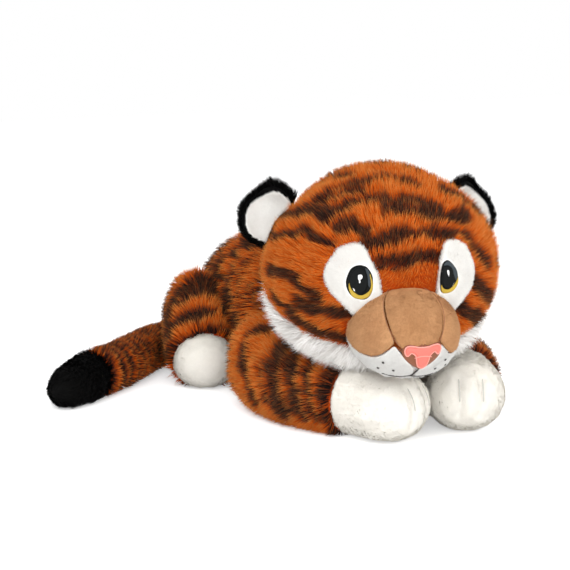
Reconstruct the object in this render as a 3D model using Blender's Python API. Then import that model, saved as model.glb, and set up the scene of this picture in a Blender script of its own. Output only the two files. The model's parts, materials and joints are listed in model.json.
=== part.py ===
"""Plush tiger that lies on its belly, built as its sewn panels over their fibre filling.

The tiger faces -Y with +Z up and its right side towards -X. Lengths are in metres and angles in degrees.
The driving sizes come first, then the shape helpers, then one function for each part of the toy.
"""

import math

import bmesh
import bpy
import numpy as np
from mathutils import Matrix, Vector

# Clearances between neighbouring pieces
GAP = 0.0003
FILLING_GAP = 0.0009
MUZZLE_FILLING_GAP = 0.0022
FLOOR_CUT = 0.0005
OVERRUN = 0.02

# Cloth with its pile, and the filling that lies behind it
FUR_THICKNESS = 0.005
PLUSH_THICKNESS = 0.003
THREAD_THICKNESS = 0.0007

# Torso: the places of its sections behind the neck, their half sizes and the height of their undersides
NECK_BACK = -0.020
NECK_HEIGHT = 0.085
NECK_RADIUS = 0.075
NECK_CLEARANCE = 0.0008
NAPE_BACK = 0.012
NAPE_HALF_WIDTH = 0.0745
NAPE_HALF_HEIGHT = 0.0720
NAPE_UNDERSIDE = 0.003
CHEST_BACK = 0.055
CHEST_HALF_WIDTH = 0.085
CHEST_HALF_HEIGHT = 0.082
BELLY_BACK = 0.110
BELLY_HALF_WIDTH = 0.083
BELLY_HALF_HEIGHT = 0.084
LOIN_BACK = 0.165
LOIN_HALF_WIDTH = 0.081
LOIN_HALF_HEIGHT = 0.081
RUMP_BACK = 0.205
RUMP_HALF_WIDTH = 0.074
RUMP_HALF_HEIGHT = 0.074
RUMP_CAP = 0.060
NECK_OPENING_RADIUS = 0.030

# Neck wad between the torso's filling and the head's filling
WAD_RADIUS = 0.040
WAD_THICKNESS = 0.007

# Head, centred in front of and above the neck pivot, turned towards the tiger's right
HEAD_FORWARD = 0.080
HEAD_RISE = 0.073
HEAD_YAW = -15.5
HEAD_HALF_WIDTH = 0.113
HEAD_HALF_DEPTH = 0.100
HEAD_HALF_HEIGHT = 0.097
HEAD_REST_HEIGHT = 0.0745
JAW_SEAM_DROP = 0.038
JAW_SEAM_SLOPE = 22.0

# Muzzle, an egg on the lower front of the head
MUZZLE_FORWARD = 0.086
MUZZLE_DROP = 0.046
MUZZLE_HALF_WIDTH = 0.053
MUZZLE_HALF_DEPTH = 0.056
MUZZLE_HALF_HEIGHT = 0.046
BRIDGE_SEAM_ANGLES = (
    (-13.0, -8.0), (-22.0, 1.0), (-31.0, 18.0), (-40.0, 35.0), (-52.0, 55.0), (-62.0, 72.0),
)
CHEEK_LOWER_ANGLES = (
    (-25.0, -2.0), (-36.0, -12.0), (-50.0, -17.0), (-70.0, -15.0), (-90.0, -9.0), (-112.0, -3.0),
)
CHEEK_UPPER_ANGLES = (
    (-23.0, 2.5), (-31.0, 18.0), (-40.0, 35.0), (-52.0, 55.0), (-62.0, 72.0), (-90.0, 80.0),
)
LOBE_LOWER_ANGLES = (
    (-21.0, -4.0), (-13.0, -14.0), (-1.2, -29.0), (-0.4, -48.0), (0.0, -66.0), (0.0, -86.0),
)
SEAM_ANGLE = 0.8

# Nose, nostrils, mouth and whisker dots
NOSE_ELEVATION = -14.0
NOSE_HALF_WIDTH = 0.0175
NOSE_HALF_HEIGHT = 0.0115
NOSE_OUTLINE_SHARES = (
    (0.0, 0.85), (0.55, 1.0), (0.95, 0.80), (0.98, 0.30), (0.62, 0.05), (0.30, -0.45), (0.0, -1.0),
    (-0.30, -0.45), (-0.62, 0.05), (-0.98, 0.30), (-0.95, 0.80), (-0.55, 1.0),
)
NOSTRIL_HALF_WIDTH = 0.0036
NOSTRIL_HALF_HEIGHT = 0.0030
NOSTRIL_ACROSS = 0.0125
NOSTRIL_DROP = 0.0060
MOUTH_HALF_WIDTH_ANGLE = 0.9
MOUTH_ANGLES = ((0.0, -31.0), (-1.5, -35.0), (-3.0, -40.0), (-4.0, -43.5))
LIP_ANGLES = ((-44.0, -46.0), (-24.0, -48.5), (0.0, -49.0), (24.0, -48.5), (44.0, -46.0))
DOT_RADIUS = 0.0016
DOT_ANGLES = ((36.0, -21.0), (45.0, -30.0), (26.0, -31.0))

# Eye patches and the four stitched areas of each eye
PATCH_AZIMUTH = 27.5
PATCH_ELEVATION = 3.0
PATCH_HALF_WIDTH = 0.0265
PATCH_HALF_HEIGHT = 0.0350
PATCH_OUTLINE_SHARES = (
    (0.05, 1.0), (0.55, 0.80), (0.92, 0.35), (1.0, -0.10), (0.72, -0.55), (0.10, -1.0),
    (-0.55, -0.72), (-0.95, -0.30), (-0.98, 0.15), (-0.70, 0.65), (-0.30, 0.93),
)
EYE_ACROSS = 0.006
EYE_DROP = 0.001
EYE_HALF_WIDTH = 0.0125
EYE_HALF_HEIGHT = 0.0165
OUTLINE_WIDTH = 0.0009
PUPIL_RISE = 0.0022
PUPIL_HALF_WIDTH = 0.0100
PUPIL_HALF_HEIGHT = 0.0130
GLINT_RISE = 0.0040
GLINT_HALF_WIDTH = 0.0020
GLINT_HALF_HEIGHT = 0.0034

# Ears, cupped half rounds on the sides of the crown
EAR_ELEVATION = 20.5
EAR_SETBACK = 0.044
EAR_HALF_WIDTH = 0.031
EAR_LENGTH = 0.0365
EAR_LIFT_SHARE = 0.42
EAR_CUP = 0.0125
EAR_BACK_THICKNESS = 0.005
EAR_LINING_THICKNESS = 0.003
EAR_LINING_MARGIN = 0.004
EAR_LAYER_GAP = 0.0028
EAR_CLEARANCE = 0.0001
EAR_TURN = 2.0
EAR_PINCH_SHARE = 0.5
EAR_PINCH_SPAN_SHARE = 0.4

# Front legs, which lie forwards with the paws together under the chin
SHOULDER_ACROSS = 0.086
SHOULDER_BACK = 0.004
SHOULDER_HALF_WIDTH = 0.043
SHOULDER_HALF_HEIGHT = 0.048
FOREARM_ACROSS = 0.084
FOREARM_BACK = -0.052
FOREARM_HALF_WIDTH = 0.043
FOREARM_HALF_HEIGHT = 0.0368
WRIST_ACROSS = 0.062
WRIST_BACK = -0.108
WRIST_HALF_WIDTH = 0.039
WRIST_HALF_HEIGHT = 0.0368
PAW_ACROSS = 0.0435
PAW_BACK = -0.152
PAW_HALF_WIDTH = 0.0405
PAW_HALF_HEIGHT = 0.0364
PAW_CAP = 0.042
PAW_SEAM_SPAN_SHARE = 0.15
TOE_STITCH_ACROSS = 0.0115
TOE_STITCH_HALF_WIDTH = 0.0008
TOE_STITCH_REACH_SHARES = (0.55, 0.80, 0.97)

# Hind legs, which lie beside the rump with their soles forwards
HIP_PLANE = 0.0805
HIP_POCKET_RADIUS = 0.082
HAUNCH_ACROSS = 0.101
HAUNCH_BACK = 0.165
HAUNCH_HALF_WIDTH = 0.030
HAUNCH_HALF_HEIGHT = 0.058
HAUNCH_CAP = 0.050
KNEE_ACROSS = 0.106
KNEE_BACK = 0.140
KNEE_HALF_WIDTH = 0.033
KNEE_HALF_HEIGHT = 0.045
FOOT_ACROSS = 0.114
FOOT_BACK = 0.116
FOOT_HALF_WIDTH = 0.0345
FOOT_HALF_HEIGHT = 0.030
FOOT_CAP = 0.030

# Tail, which leaves the rump and lies round the right haunch
TAIL_ROOT_BACK = 0.252
TAIL_HALF_WIDTH = 0.0225
TAIL_END_HALF_WIDTH = 0.0245
TAIL_SWEEP_ACROSS = 0.2665
TAIL_SWEEP_BACK = 0.256
TAIL_PLACE_SHARES = ((0.263, 1.0), (0.480, 0.898), (0.694, 0.672), (0.882, 0.520), (1.0, 0.422))
TAIL_TIP_SPAN_SHARE = 0.80

# Mesh fineness
CAP_RINGS = 3
TORSO_SIDES = 16
LIMB_SIDES = 16
TAIL_SIDES = 12
BALL_SEGMENTS = 24
BALL_RINGS = 12
FILLING_SEGMENTS = 16
FILLING_RINGS = 8
CUTTER_SEGMENTS = 32
CUTTER_RINGS = 16

# Materials: colour, roughness
MATERIALS = {
    "orange_fur": ((0.58, 0.16, 0.02), 0.9),
    "white_fur": ((0.88, 0.86, 0.82), 0.9),
    "black_fur": ((0.012, 0.011, 0.012), 0.9),
    "white_plush": ((0.88, 0.86, 0.82), 0.85),
    "tan_plush": ((0.53, 0.28, 0.13), 0.85),
    "pink_thread": ((0.86, 0.20, 0.16), 0.6),
    "brown_thread": ((0.22, 0.08, 0.04), 0.6),
    "black_thread": ((0.01, 0.01, 0.012), 0.5),
    "gold_thread": ((0.55, 0.38, 0.04), 0.5),
    "white_thread": ((0.9, 0.9, 0.88), 0.5),
    "grey_thread": ((0.40, 0.38, 0.35), 0.6),
    "fibre_filling": ((0.85, 0.85, 0.83), 0.95),
}


def smooth_rows(rows, steps, closed=False):
    """Returns a smooth curve through rows of numbers, with steps spans between neighbours."""
    rows = np.array(rows, dtype=float)
    count = len(rows)
    points = []
    for span in range(count if closed else count - 1):
        indices = [span + shift for shift in (-1, 0, 1, 2)]
        if closed:
            a, b, c, d = (rows[i % count] for i in indices)
        else:
            a, b, c, d = (rows[min(max(i, 0), count - 1)] for i in indices)
        for step in range(steps):
            t = step / steps
            bend = (2 * a - 5 * b + 4 * c - d) * t**2 + (3 * b - a - 3 * c + d) * t**3
            points.append(0.5 * (2 * b + (c - a) * t + bend))
    if not closed:
        points.append(rows[-1])
    return np.array(points)


def unit(vector):
    """Returns the vector at length one."""
    vector = np.array(vector, dtype=float)
    return vector / np.linalg.norm(vector)


def direction_of(azimuth, elevation):
    """Returns the direction at an azimuth from -Y towards +X and an elevation above the level."""
    level = math.cos(math.radians(elevation))
    return np.array(
        (
            math.sin(math.radians(azimuth)) * level,
            -math.cos(math.radians(azimuth)) * level,
            math.sin(math.radians(elevation)),
        )
    )


def solid(name, vertices, faces, material=None):
    """Adds one closed mesh object with its faces out."""
    mesh = bpy.data.meshes.new(name)
    mesh.from_pydata([tuple(map(float, v)) for v in vertices], [], faces)
    shell = bmesh.new()
    shell.from_mesh(mesh)
    bmesh.ops.remove_doubles(shell, verts=shell.verts, dist=GAP / 10)
    bmesh.ops.recalc_face_normals(shell, faces=shell.faces)
    bmesh.ops.triangulate(shell, faces=shell.faces, quad_method="FIXED")
    shell.to_mesh(mesh)
    shell.free()
    mesh.shade_smooth()
    made = bpy.data.objects.new(name, mesh)
    bpy.context.scene.collection.objects.link(made)
    if material:
        dress(made, material)
    return made


def dress(made, material):
    """Gives an object its own copy of a named material."""
    colour, roughness = MATERIALS[material]
    finish = bpy.data.materials.new(f"{made.name}_{material}")
    finish.use_nodes = True
    shader = finish.node_tree.nodes["Principled BSDF"]
    shader.inputs["Base Color"].default_value = (*colour, 1.0)
    shader.inputs["Roughness"].default_value = roughness
    shader.inputs["Metallic"].default_value = 0.0
    made.data.materials.clear()
    made.data.materials.append(finish)


def cut(target, *tools):
    """Cuts each tool out of the target and removes the tool."""
    for tool in tools:
        modifier = target.modifiers.new("cut", "BOOLEAN")
        modifier.operation = "DIFFERENCE"
        modifier.solver = "EXACT"
        modifier.object = tool
        bpy.context.view_layer.update()
        carved = bpy.data.meshes.new_from_object(target.evaluated_get(bpy.context.evaluated_depsgraph_get()))
        target.modifiers.clear()
        target.data = carved
        bpy.data.objects.remove(tool)
    tidy = bmesh.new()
    tidy.from_mesh(target.data)
    bmesh.ops.dissolve_degenerate(tidy, edges=tidy.edges, dist=GAP / 10)
    tidy.to_mesh(target.data)
    tidy.free()
    target.data.shade_smooth()
    return target


def ring_faces(rings, sides, first=0):
    """Returns the faces between neighbouring rings of vertices."""
    faces = []
    for ring in range(rings - 1):
        for side in range(sides):
            a = first + ring * sides + side
            b = first + ring * sides + (side + 1) % sides
            faces.append((a, b, b + sides, a + sides))
    return faces


def swept_form(name, stations, start_cap, end_cap, sides, steps, inset=0.0):
    """Adds a stuffed form with round ends along stations of place and half sizes.

    Each station holds x, y, the height of its underside, its half width and its half height. The inset draws
    the whole surface inwards, or outwards where it is negative. Whatever dips below the table is flattened.
    """
    rows = smooth_rows(stations, steps if inset <= 0.0 else steps - 1)
    centres = rows[:, :3].copy()
    centres[:, 2] += rows[:, 4] * math.cos(math.pi / sides) - FLOOR_CUT
    if inset > 0.0:
        sides = sides * 3 // 4
    turn = math.pi / sides
    headings = np.gradient(centres[:, :2], axis=0)
    headings /= np.linalg.norm(headings, axis=1)[:, None]
    sizes = rows[:, 3:5] - inset
    rings = []
    cap_turns = [0.5 * math.pi * (k + 1) / (CAP_RINGS + 1) for k in range(CAP_RINGS)]
    start_reach = start_cap - inset
    end_reach = end_cap - inset
    for angle in cap_turns:
        rings.append((centres[0], headings[0], -start_reach * math.cos(angle), sizes[0] * math.sin(angle)))
    for centre, heading, size in zip(centres, headings, sizes):
        rings.append((centre, heading, 0.0, size))
    for angle in reversed(cap_turns):
        rings.append((centres[-1], headings[-1], end_reach * math.cos(angle), sizes[-1] * math.sin(angle)))
    vertices = []
    for centre, heading, ahead, size in rings:
        for side in range(sides):
            angle = (2 * side + 1) * turn
            across = size[0] * math.cos(angle)
            x = centre[0] + heading[0] * ahead - heading[1] * across
            y = centre[1] + heading[1] * ahead + heading[0] * across
            vertices.append((x, y, max(centre[2] + size[1] * math.sin(angle), inset)))
    first_pole = len(vertices)
    for centre, heading, ahead in (
        (centres[0], headings[0], -start_reach),
        (centres[-1], headings[-1], end_reach),
    ):
        vertices.append((centre[0] + heading[0] * ahead, centre[1] + heading[1] * ahead, centre[2]))
    faces = ring_faces(len(rings), sides)
    last_ring = (len(rings) - 1) * sides
    for side in range(sides):
        after = (side + 1) % sides
        faces.append((first_pole, after, side))
        faces.append((first_pole + 1, last_ring + side, last_ring + after))
    return solid(name, vertices, faces)


class Ball:
    """An egg with a centre, three half sizes and an optional flat underside."""

    def __init__(self, centre, halves, underside=None):
        self.centre = np.array(centre, dtype=float)
        self.halves = np.array(halves, dtype=float)
        self.underside = underside

    def point(self, direction, lift=0.0):
        """Returns the surface point in a direction from the centre, lifted off the surface."""
        halves = self.halves + lift
        place = self.centre + direction / np.linalg.norm(direction / halves)
        if self.underside is not None:
            place[2] = max(place[2], self.underside - lift)
        return place

    def form(self, name, lift=0.0, segments=BALL_SEGMENTS, rings=BALL_RINGS):
        """Adds the egg as a closed form."""
        vertices = []
        for ring in range(1, rings):
            elevation = 90.0 - 180.0 * ring / rings
            for segment in range(segments):
                vertices.append(self.point(direction_of(360.0 * segment / segments, elevation), lift))
        poles = len(vertices)
        vertices.append(self.point(direction_of(0.0, 90.0), lift))
        vertices.append(self.point(direction_of(0.0, -90.0), lift))
        faces = ring_faces(rings - 1, segments)
        last = (rings - 2) * segments
        for segment in range(segments):
            after = (segment + 1) % segments
            faces.append((poles, segment, after))
            faces.append((poles + 1, last + after, last + segment))
        return solid(name, vertices, faces)

    def frame(self, azimuth, elevation):
        """Returns a surface point with the directions rightwards and upwards along the surface there."""
        direction = direction_of(azimuth, elevation)
        place = self.point(direction)
        normal = unit((place - self.centre) / self.halves**2)
        right = unit(np.cross(normal, (0.0, 0.0, 1.0))) * -1.0
        return place, right, np.cross(normal, right)

    def panel(self, name, one_edge, other_edge, low, high, material, steps=1, columns=5, seam=SEAM_ANGLE):
        """Adds a cloth panel between two edges, each a list of azimuths and elevations."""
        one = smooth_rows(one_edge, steps)
        other = smooth_rows(other_edge, steps)
        layers = []
        for lift in (high, low):
            for start, stop in zip(one, other):
                margin = seam / np.linalg.norm(stop - start)
                for column in range(columns + 1):
                    share = margin + (1.0 - 2.0 * margin) * column / columns
                    layers.append(self.point(direction_of(*(start + (stop - start) * share)), lift))
        return solid(name, layers, slab_faces(len(one), columns + 1), material)

    def medallion(
        self, name, seat, offset, halves, outline, low, high, material, rings=2, steps=2, spoke_turn=1.0
    ):
        """Adds a flat piece with a star-shaped outline, wrapped on the surface around a seat."""
        place, right, upwards = self.frame(*seat)
        rim = smooth_rows(outline, steps, closed=True) * np.array(halves)
        rim[:, 0] *= spoke_turn
        middle = place + right * offset[0] + upwards * offset[1]
        vertices = []
        for lift in (high, low):
            vertices.append(self.point(middle - self.centre, lift))
            for ring in range(1, rings + 1):
                for across, up in rim * ring / rings:
                    vertices.append(self.point(middle + right * across + upwards * up - self.centre, lift))
        return solid(name, vertices, fan_faces(len(rim), rings), material)


def slab_faces(rows, columns):
    """Returns the faces of a slab whose two layers are grids of rows and columns."""
    layer = rows * columns
    faces = []
    for row in range(rows - 1):
        for column in range(columns - 1):
            a = row * columns + column
            face = (a, a + 1, a + columns + 1, a + columns)
            faces.append(face)
            faces.append(tuple(v + layer for v in reversed(face)))
    border = [column for column in range(columns)]
    border += [row * columns + columns - 1 for row in range(1, rows)]
    border += [(rows - 1) * columns + column for column in range(columns - 2, -1, -1)]
    border += [row * columns for row in range(rows - 2, 0, -1)]
    for here, after in zip(border, border[1:] + border[:1]):
        faces.append((here, here + layer, after + layer, after))
    return faces


def fan_faces(spokes, rings):
    """Returns the faces of a round slab whose two layers have a middle vertex and rings of spokes."""
    layer = 1 + spokes * rings
    faces = []
    for spoke in range(spokes):
        after = (spoke + 1) % spokes
        faces.append((0, 1 + spoke, 1 + after))
        faces.append((layer, layer + 1 + after, layer + 1 + spoke))
        rim = 1 + (rings - 1) * spokes
        faces.append((rim + spoke, rim + spoke + layer, rim + after + layer, rim + after))
    for face in ring_faces(rings, spokes, 1):
        faces.append(face)
        faces.append(tuple(v + layer for v in reversed(face)))
    return faces


def round_outline(count=8):
    """Returns the corners of a circle of radius one."""
    return [(math.cos(2 * math.pi * k / count), math.sin(2 * math.pi * k / count)) for k in range(count)]


def half_space(name, point, normal, reach):
    """Adds a block that fills everything within reach on the side of a plane that its normal points to."""
    forward = unit(normal)
    helper = (1.0, 0.0, 0.0) if abs(forward[0]) < abs(forward[1]) else (0.0, 1.0, 0.0)
    side = unit(np.cross(forward, helper))
    rise = np.cross(forward, side)
    vertices = []
    for ahead in (0.0, reach):
        for across, up in ((-reach, -reach), (reach, -reach), (reach, reach), (-reach, reach)):
            vertices.append(np.array(point) + forward * ahead + side * across + rise * up)
    faces = [(0, 1, 2, 3), (7, 6, 5, 4)]
    faces += [(k, k + 4, (k + 1) % 4 + 4, (k + 1) % 4) for k in range(4)]
    return solid(name, vertices, faces)


def sideways_drum(name, across, far_across, back, height, radius):
    """Adds a drum along X between two places, for the round pocket that a hip lies in."""
    vertices = []
    for x in (across, far_across):
        for k in range(CUTTER_SEGMENTS):
            angle = 2 * math.pi * k / CUTTER_SEGMENTS
            vertices.append((x, back + radius * math.cos(angle), height + radius * math.sin(angle)))
    faces = ring_faces(2, CUTTER_SEGMENTS)
    faces.append(tuple(reversed(range(CUTTER_SEGMENTS))))
    faces.append(tuple(range(CUTTER_SEGMENTS, 2 * CUTTER_SEGMENTS)))
    return solid(name, vertices, faces)


NECK = np.array((0.0, NECK_BACK, NECK_HEIGHT))
HIP_HEIGHT = HAUNCH_HALF_HEIGHT
TAIL_ROOT = np.array((0.0, TAIL_ROOT_BACK, TAIL_HALF_WIDTH))


def torso_form(name, inset=0.0):
    """Adds the torso's form, a round neck end and a swelling belly."""
    neck_underside = NECK_HEIGHT - NECK_RADIUS * math.cos(math.pi / TORSO_SIDES) + FLOOR_CUT
    stations = (
        (0.0, NECK_BACK, neck_underside, NECK_RADIUS, NECK_RADIUS),
        (0.0, NAPE_BACK, NAPE_UNDERSIDE, NAPE_HALF_WIDTH, NAPE_HALF_HEIGHT),
        (0.0, CHEST_BACK, 0.0, CHEST_HALF_WIDTH, CHEST_HALF_HEIGHT),
        (0.0, BELLY_BACK, 0.0, BELLY_HALF_WIDTH, BELLY_HALF_HEIGHT),
        (0.0, LOIN_BACK, 0.0, LOIN_HALF_WIDTH, LOIN_HALF_HEIGHT),
        (0.0, RUMP_BACK, 0.0, RUMP_HALF_WIDTH, RUMP_HALF_HEIGHT),
    )
    return swept_form(name, stations, NECK_RADIUS, RUMP_CAP, TORSO_SIDES, 2, inset)


def torso_hollows(clearance):
    """Returns the tools that make room for the hips and for the root of the tail."""
    tools = []
    for side in (-1, 1):
        plane = side * (HIP_PLANE - clearance)
        far = side * (HIP_PLANE + OVERRUN)
        tools.append(sideways_drum("hip_pocket", plane, far, HAUNCH_BACK, HIP_HEIGHT, HIP_POCKET_RADIUS))
    socket = Ball(TAIL_ROOT, (TAIL_HALF_WIDTH,) * 3)
    tools.append(socket.form("tail_socket", NECK_CLEARANCE + clearance, CUTTER_SEGMENTS, CUTTER_RINGS))
    return tools


def neck_axis():
    """Returns the direction from the neck pivot to the head."""
    yaw = math.radians(HEAD_YAW)
    return unit((math.sin(yaw) * HEAD_FORWARD, -math.cos(yaw) * HEAD_FORWARD, HEAD_RISE))


def make_torso():
    """Makes the torso's skin and its filling."""
    opening = half_round_plug("neck_opening", NECK_OPENING_RADIUS)
    skin = cut(torso_form("torso_skin"), *torso_hollows(0.0), torso_form("inside", FUR_THICKNESS), opening)
    filling = cut(torso_form("torso_filling", FUR_THICKNESS + FILLING_GAP), *torso_hollows(GAP))
    dress(skin, "orange_fur")
    dress(filling, "fibre_filling")
    return [skin, filling]


def half_round_plug(name, radius):
    """Adds a round plug that reaches from inside the neck out past its dome, towards the head."""
    neck = Ball(NECK, (NECK_RADIUS,) * 3)
    axis = neck_axis()
    azimuth = math.degrees(math.atan2(axis[0], -axis[1]))
    elevation = math.degrees(math.asin(axis[2]))
    seat = (azimuth, elevation)
    low = -2.0 * FUR_THICKNESS
    return neck.medallion(name, seat, (0.0, 0.0), (radius, radius), round_outline(), low, OVERRUN, None)


def make_neck():
    """Makes the wad of filling between the torso and the head."""
    neck = Ball(NECK, (NECK_RADIUS,) * 3)
    axis = neck_axis()
    azimuth = math.degrees(math.atan2(axis[0], -axis[1]))
    elevation = math.degrees(math.asin(axis[2]))
    low = NECK_CLEARANCE
    high = low + WAD_THICKNESS
    wad = neck.medallion(
        "neck_filling", (azimuth, elevation), (0.0, 0.0), (WAD_RADIUS, WAD_RADIUS), round_outline(),
        low, high, "fibre_filling", rings=4,
    )
    return [wad]


HEAD = Ball(
    (0.0, 0.0, 0.0),
    (HEAD_HALF_WIDTH, HEAD_HALF_DEPTH, HEAD_HALF_HEIGHT),
    HEAD_REST_HEIGHT - NECK_HEIGHT - HEAD_RISE,
)
MUZZLE = Ball(
    (0.0, -MUZZLE_FORWARD, -MUZZLE_DROP),
    (MUZZLE_HALF_WIDTH, MUZZLE_HALF_DEPTH, MUZZLE_HALF_HEIGHT),
    HEAD_REST_HEIGHT - NECK_HEIGHT - HEAD_RISE,
)
HEAD_PLACE = (
    Matrix.Translation(NECK.tolist())
    @ Matrix.Rotation(math.radians(HEAD_YAW), 4, "Z")
    @ Matrix.Translation((0.0, -HEAD_FORWARD, HEAD_RISE))
)


def neck_ball(lift):
    """Adds the round end of the neck, seen from the head, as a tool."""
    ball = Ball((0.0, HEAD_FORWARD, -HEAD_RISE), (NECK_RADIUS,) * 3)
    return ball.form("neck_ball", lift, CUTTER_SEGMENTS, CUTTER_RINGS)


def jaw_half_space(name, side):
    """Adds a tool that fills the head above the jaw seam for side 1, or below it for side -1."""
    slope = math.radians(JAW_SEAM_SLOPE)
    normal = np.array((0.0, -math.sin(slope), math.cos(slope))) * side
    point = np.array((0.0, 0.0, -JAW_SEAM_DROP)) + normal * (-0.5 * GAP)
    return half_space(name, point, normal, 3.0 * HEAD_HALF_WIDTH)


def make_head():
    """Makes the head's upper skin, its white jaw skin and its filling."""
    pieces = []
    for name, side, material in (("head_skin", -1, "orange_fur"), ("jaw_skin", 1, "white_fur")):
        inside = HEAD.form("inside", -FUR_THICKNESS, FILLING_SEGMENTS, FILLING_RINGS)
        skin = cut(HEAD.form(name), neck_ball(NECK_CLEARANCE), inside, jaw_half_space("seam", side))
        dress(skin, material)
        pieces.append(skin)
    lift = -FUR_THICKNESS - FILLING_GAP
    filling = HEAD.form("head_filling", lift, FILLING_SEGMENTS, FILLING_RINGS)
    cut(filling, neck_ball(WAD_THICKNESS + 2.0 * NECK_CLEARANCE))
    dress(filling, "fibre_filling")
    pieces.append(filling)
    return pieces


def make_muzzle():
    """Makes the muzzle's filling and its five cloth panels."""
    low = -PLUSH_THICKNESS
    filling = MUZZLE.form("muzzle_filling", low - MUZZLE_FILLING_GAP, FILLING_SEGMENTS, FILLING_RINGS)
    cut(filling, HEAD.form("head_outside", GAP))
    dress(filling, "fibre_filling")
    seam = BRIDGE_SEAM_ANGLES
    mirrored = [(-azimuth, elevation) for azimuth, elevation in seam]
    pieces = [
        filling,
        MUZZLE.panel("muzzle_bridge", seam, mirrored, low, 0.0, "tan_plush", steps=2, columns=6),
    ]
    for label, side in (("right", 1.0), ("left", -1.0)):
        flip = np.array((side, 1.0))
        seams = (CHEEK_UPPER_ANGLES, CHEEK_LOWER_ANGLES, LOBE_LOWER_ANGLES)
        upper, middle, lower = (np.array(angles) * flip for angles in seams)
        cheek = MUZZLE.panel(f"muzzle_cheek_{label}", upper, middle, low, 0.0, "tan_plush", steps=2)
        lobe = MUZZLE.panel(f"muzzle_lobe_{label}", middle, lower, low, 0.0, "white_plush", steps=2)
        pieces += [cheek, lobe]
    for piece in pieces[1:]:
        cut(piece, HEAD.form("head_outside", GAP))
    return pieces


def make_nose_and_mouth():
    """Makes the stitched nose, nostrils, mouth, lip and whisker dots on the muzzle."""
    low = GAP
    high = low + THREAD_THICKNESS
    seat = (0.0, NOSE_ELEVATION)
    pieces = [
        MUZZLE.medallion(
            "nose", seat, (0.0, 0.0), (NOSE_HALF_WIDTH, NOSE_HALF_HEIGHT), NOSE_OUTLINE_SHARES, low, high,
            "pink_thread",
        )
    ]
    for label, side in (("right", -1), ("left", 1)):
        pieces.append(
            MUZZLE.medallion(
                f"nostril_{label}", seat, (side * NOSTRIL_ACROSS, -NOSTRIL_DROP),
                (NOSTRIL_HALF_WIDTH, NOSTRIL_HALF_HEIGHT), round_outline(), low, high, "brown_thread",
                rings=1, steps=1,
            )
        )
        for index, (azimuth, elevation) in enumerate(DOT_ANGLES, 1):
            pieces.append(
                MUZZLE.medallion(
                    f"whisker_dot_{label}_{index}", (side * azimuth, elevation), (0.0, 0.0),
                    (DOT_RADIUS, DOT_RADIUS), round_outline(6), low, high, "black_thread", rings=1, steps=1,
                )
            )
    across = np.array((MOUTH_HALF_WIDTH_ANGLE, 0.0))
    mouth = np.array(MOUTH_ANGLES)
    edges = (mouth - across, mouth + across)
    pieces.append(MUZZLE.panel("mouth_line", *edges, low, high, "black_thread", columns=1, seam=0.0))
    upwards = np.array((0.0, 0.5 * MOUTH_HALF_WIDTH_ANGLE))
    lip = np.array(LIP_ANGLES)
    edges = (lip - upwards, lip + upwards)
    pieces.append(MUZZLE.panel("lip_line", *edges, low, high, "grey_thread", steps=3, columns=1, seam=0.0))
    return pieces


def make_eyes():
    """Makes both eye patches and the stitched areas of both eyes."""
    pieces = []
    for label, side in (("right", -1.0), ("left", 1.0)):
        seat = (side * PATCH_AZIMUTH, PATCH_ELEVATION)
        patch = HEAD.medallion(
            f"eye_patch_{label}", seat, (0.0, 0.0), (PATCH_HALF_WIDTH, PATCH_HALF_HEIGHT),
            PATCH_OUTLINE_SHARES, GAP, GAP + PLUSH_THICKNESS, "white_plush", rings=3, spoke_turn=side,
        )
        cut(patch, MUZZLE.form("muzzle_outside", FILLING_GAP, CUTTER_SEGMENTS, CUTTER_RINGS))
        pieces.append(patch)
        eye = (-side * EYE_ACROSS, -EYE_DROP)
        iris_halves = (EYE_HALF_WIDTH - OUTLINE_WIDTH, EYE_HALF_HEIGHT - OUTLINE_WIDTH)
        layers = (
            ("outline", 0.0, (EYE_HALF_WIDTH, EYE_HALF_HEIGHT), "black_thread"),
            ("iris", 0.0, iris_halves, "gold_thread"),
            ("pupil", PUPIL_RISE, (PUPIL_HALF_WIDTH, PUPIL_HALF_HEIGHT), "black_thread"),
            ("glint", PUPIL_RISE + GLINT_RISE, (GLINT_HALF_WIDTH, GLINT_HALF_HEIGHT), "white_thread"),
        )
        low = PLUSH_THICKNESS + 2.0 * GAP
        for layer, rise, halves, material in layers:
            high = low + THREAD_THICKNESS
            corners = 8 if layer == "glint" else 14
            pieces.append(
                HEAD.medallion(
                    f"eye_{layer}_{label}", seat, (eye[0], eye[1] + rise), halves, round_outline(corners),
                    low, high, material, rings=1 if layer == "glint" else 2, steps=1,
                )
            )
            low = high + GAP
    return pieces


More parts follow.
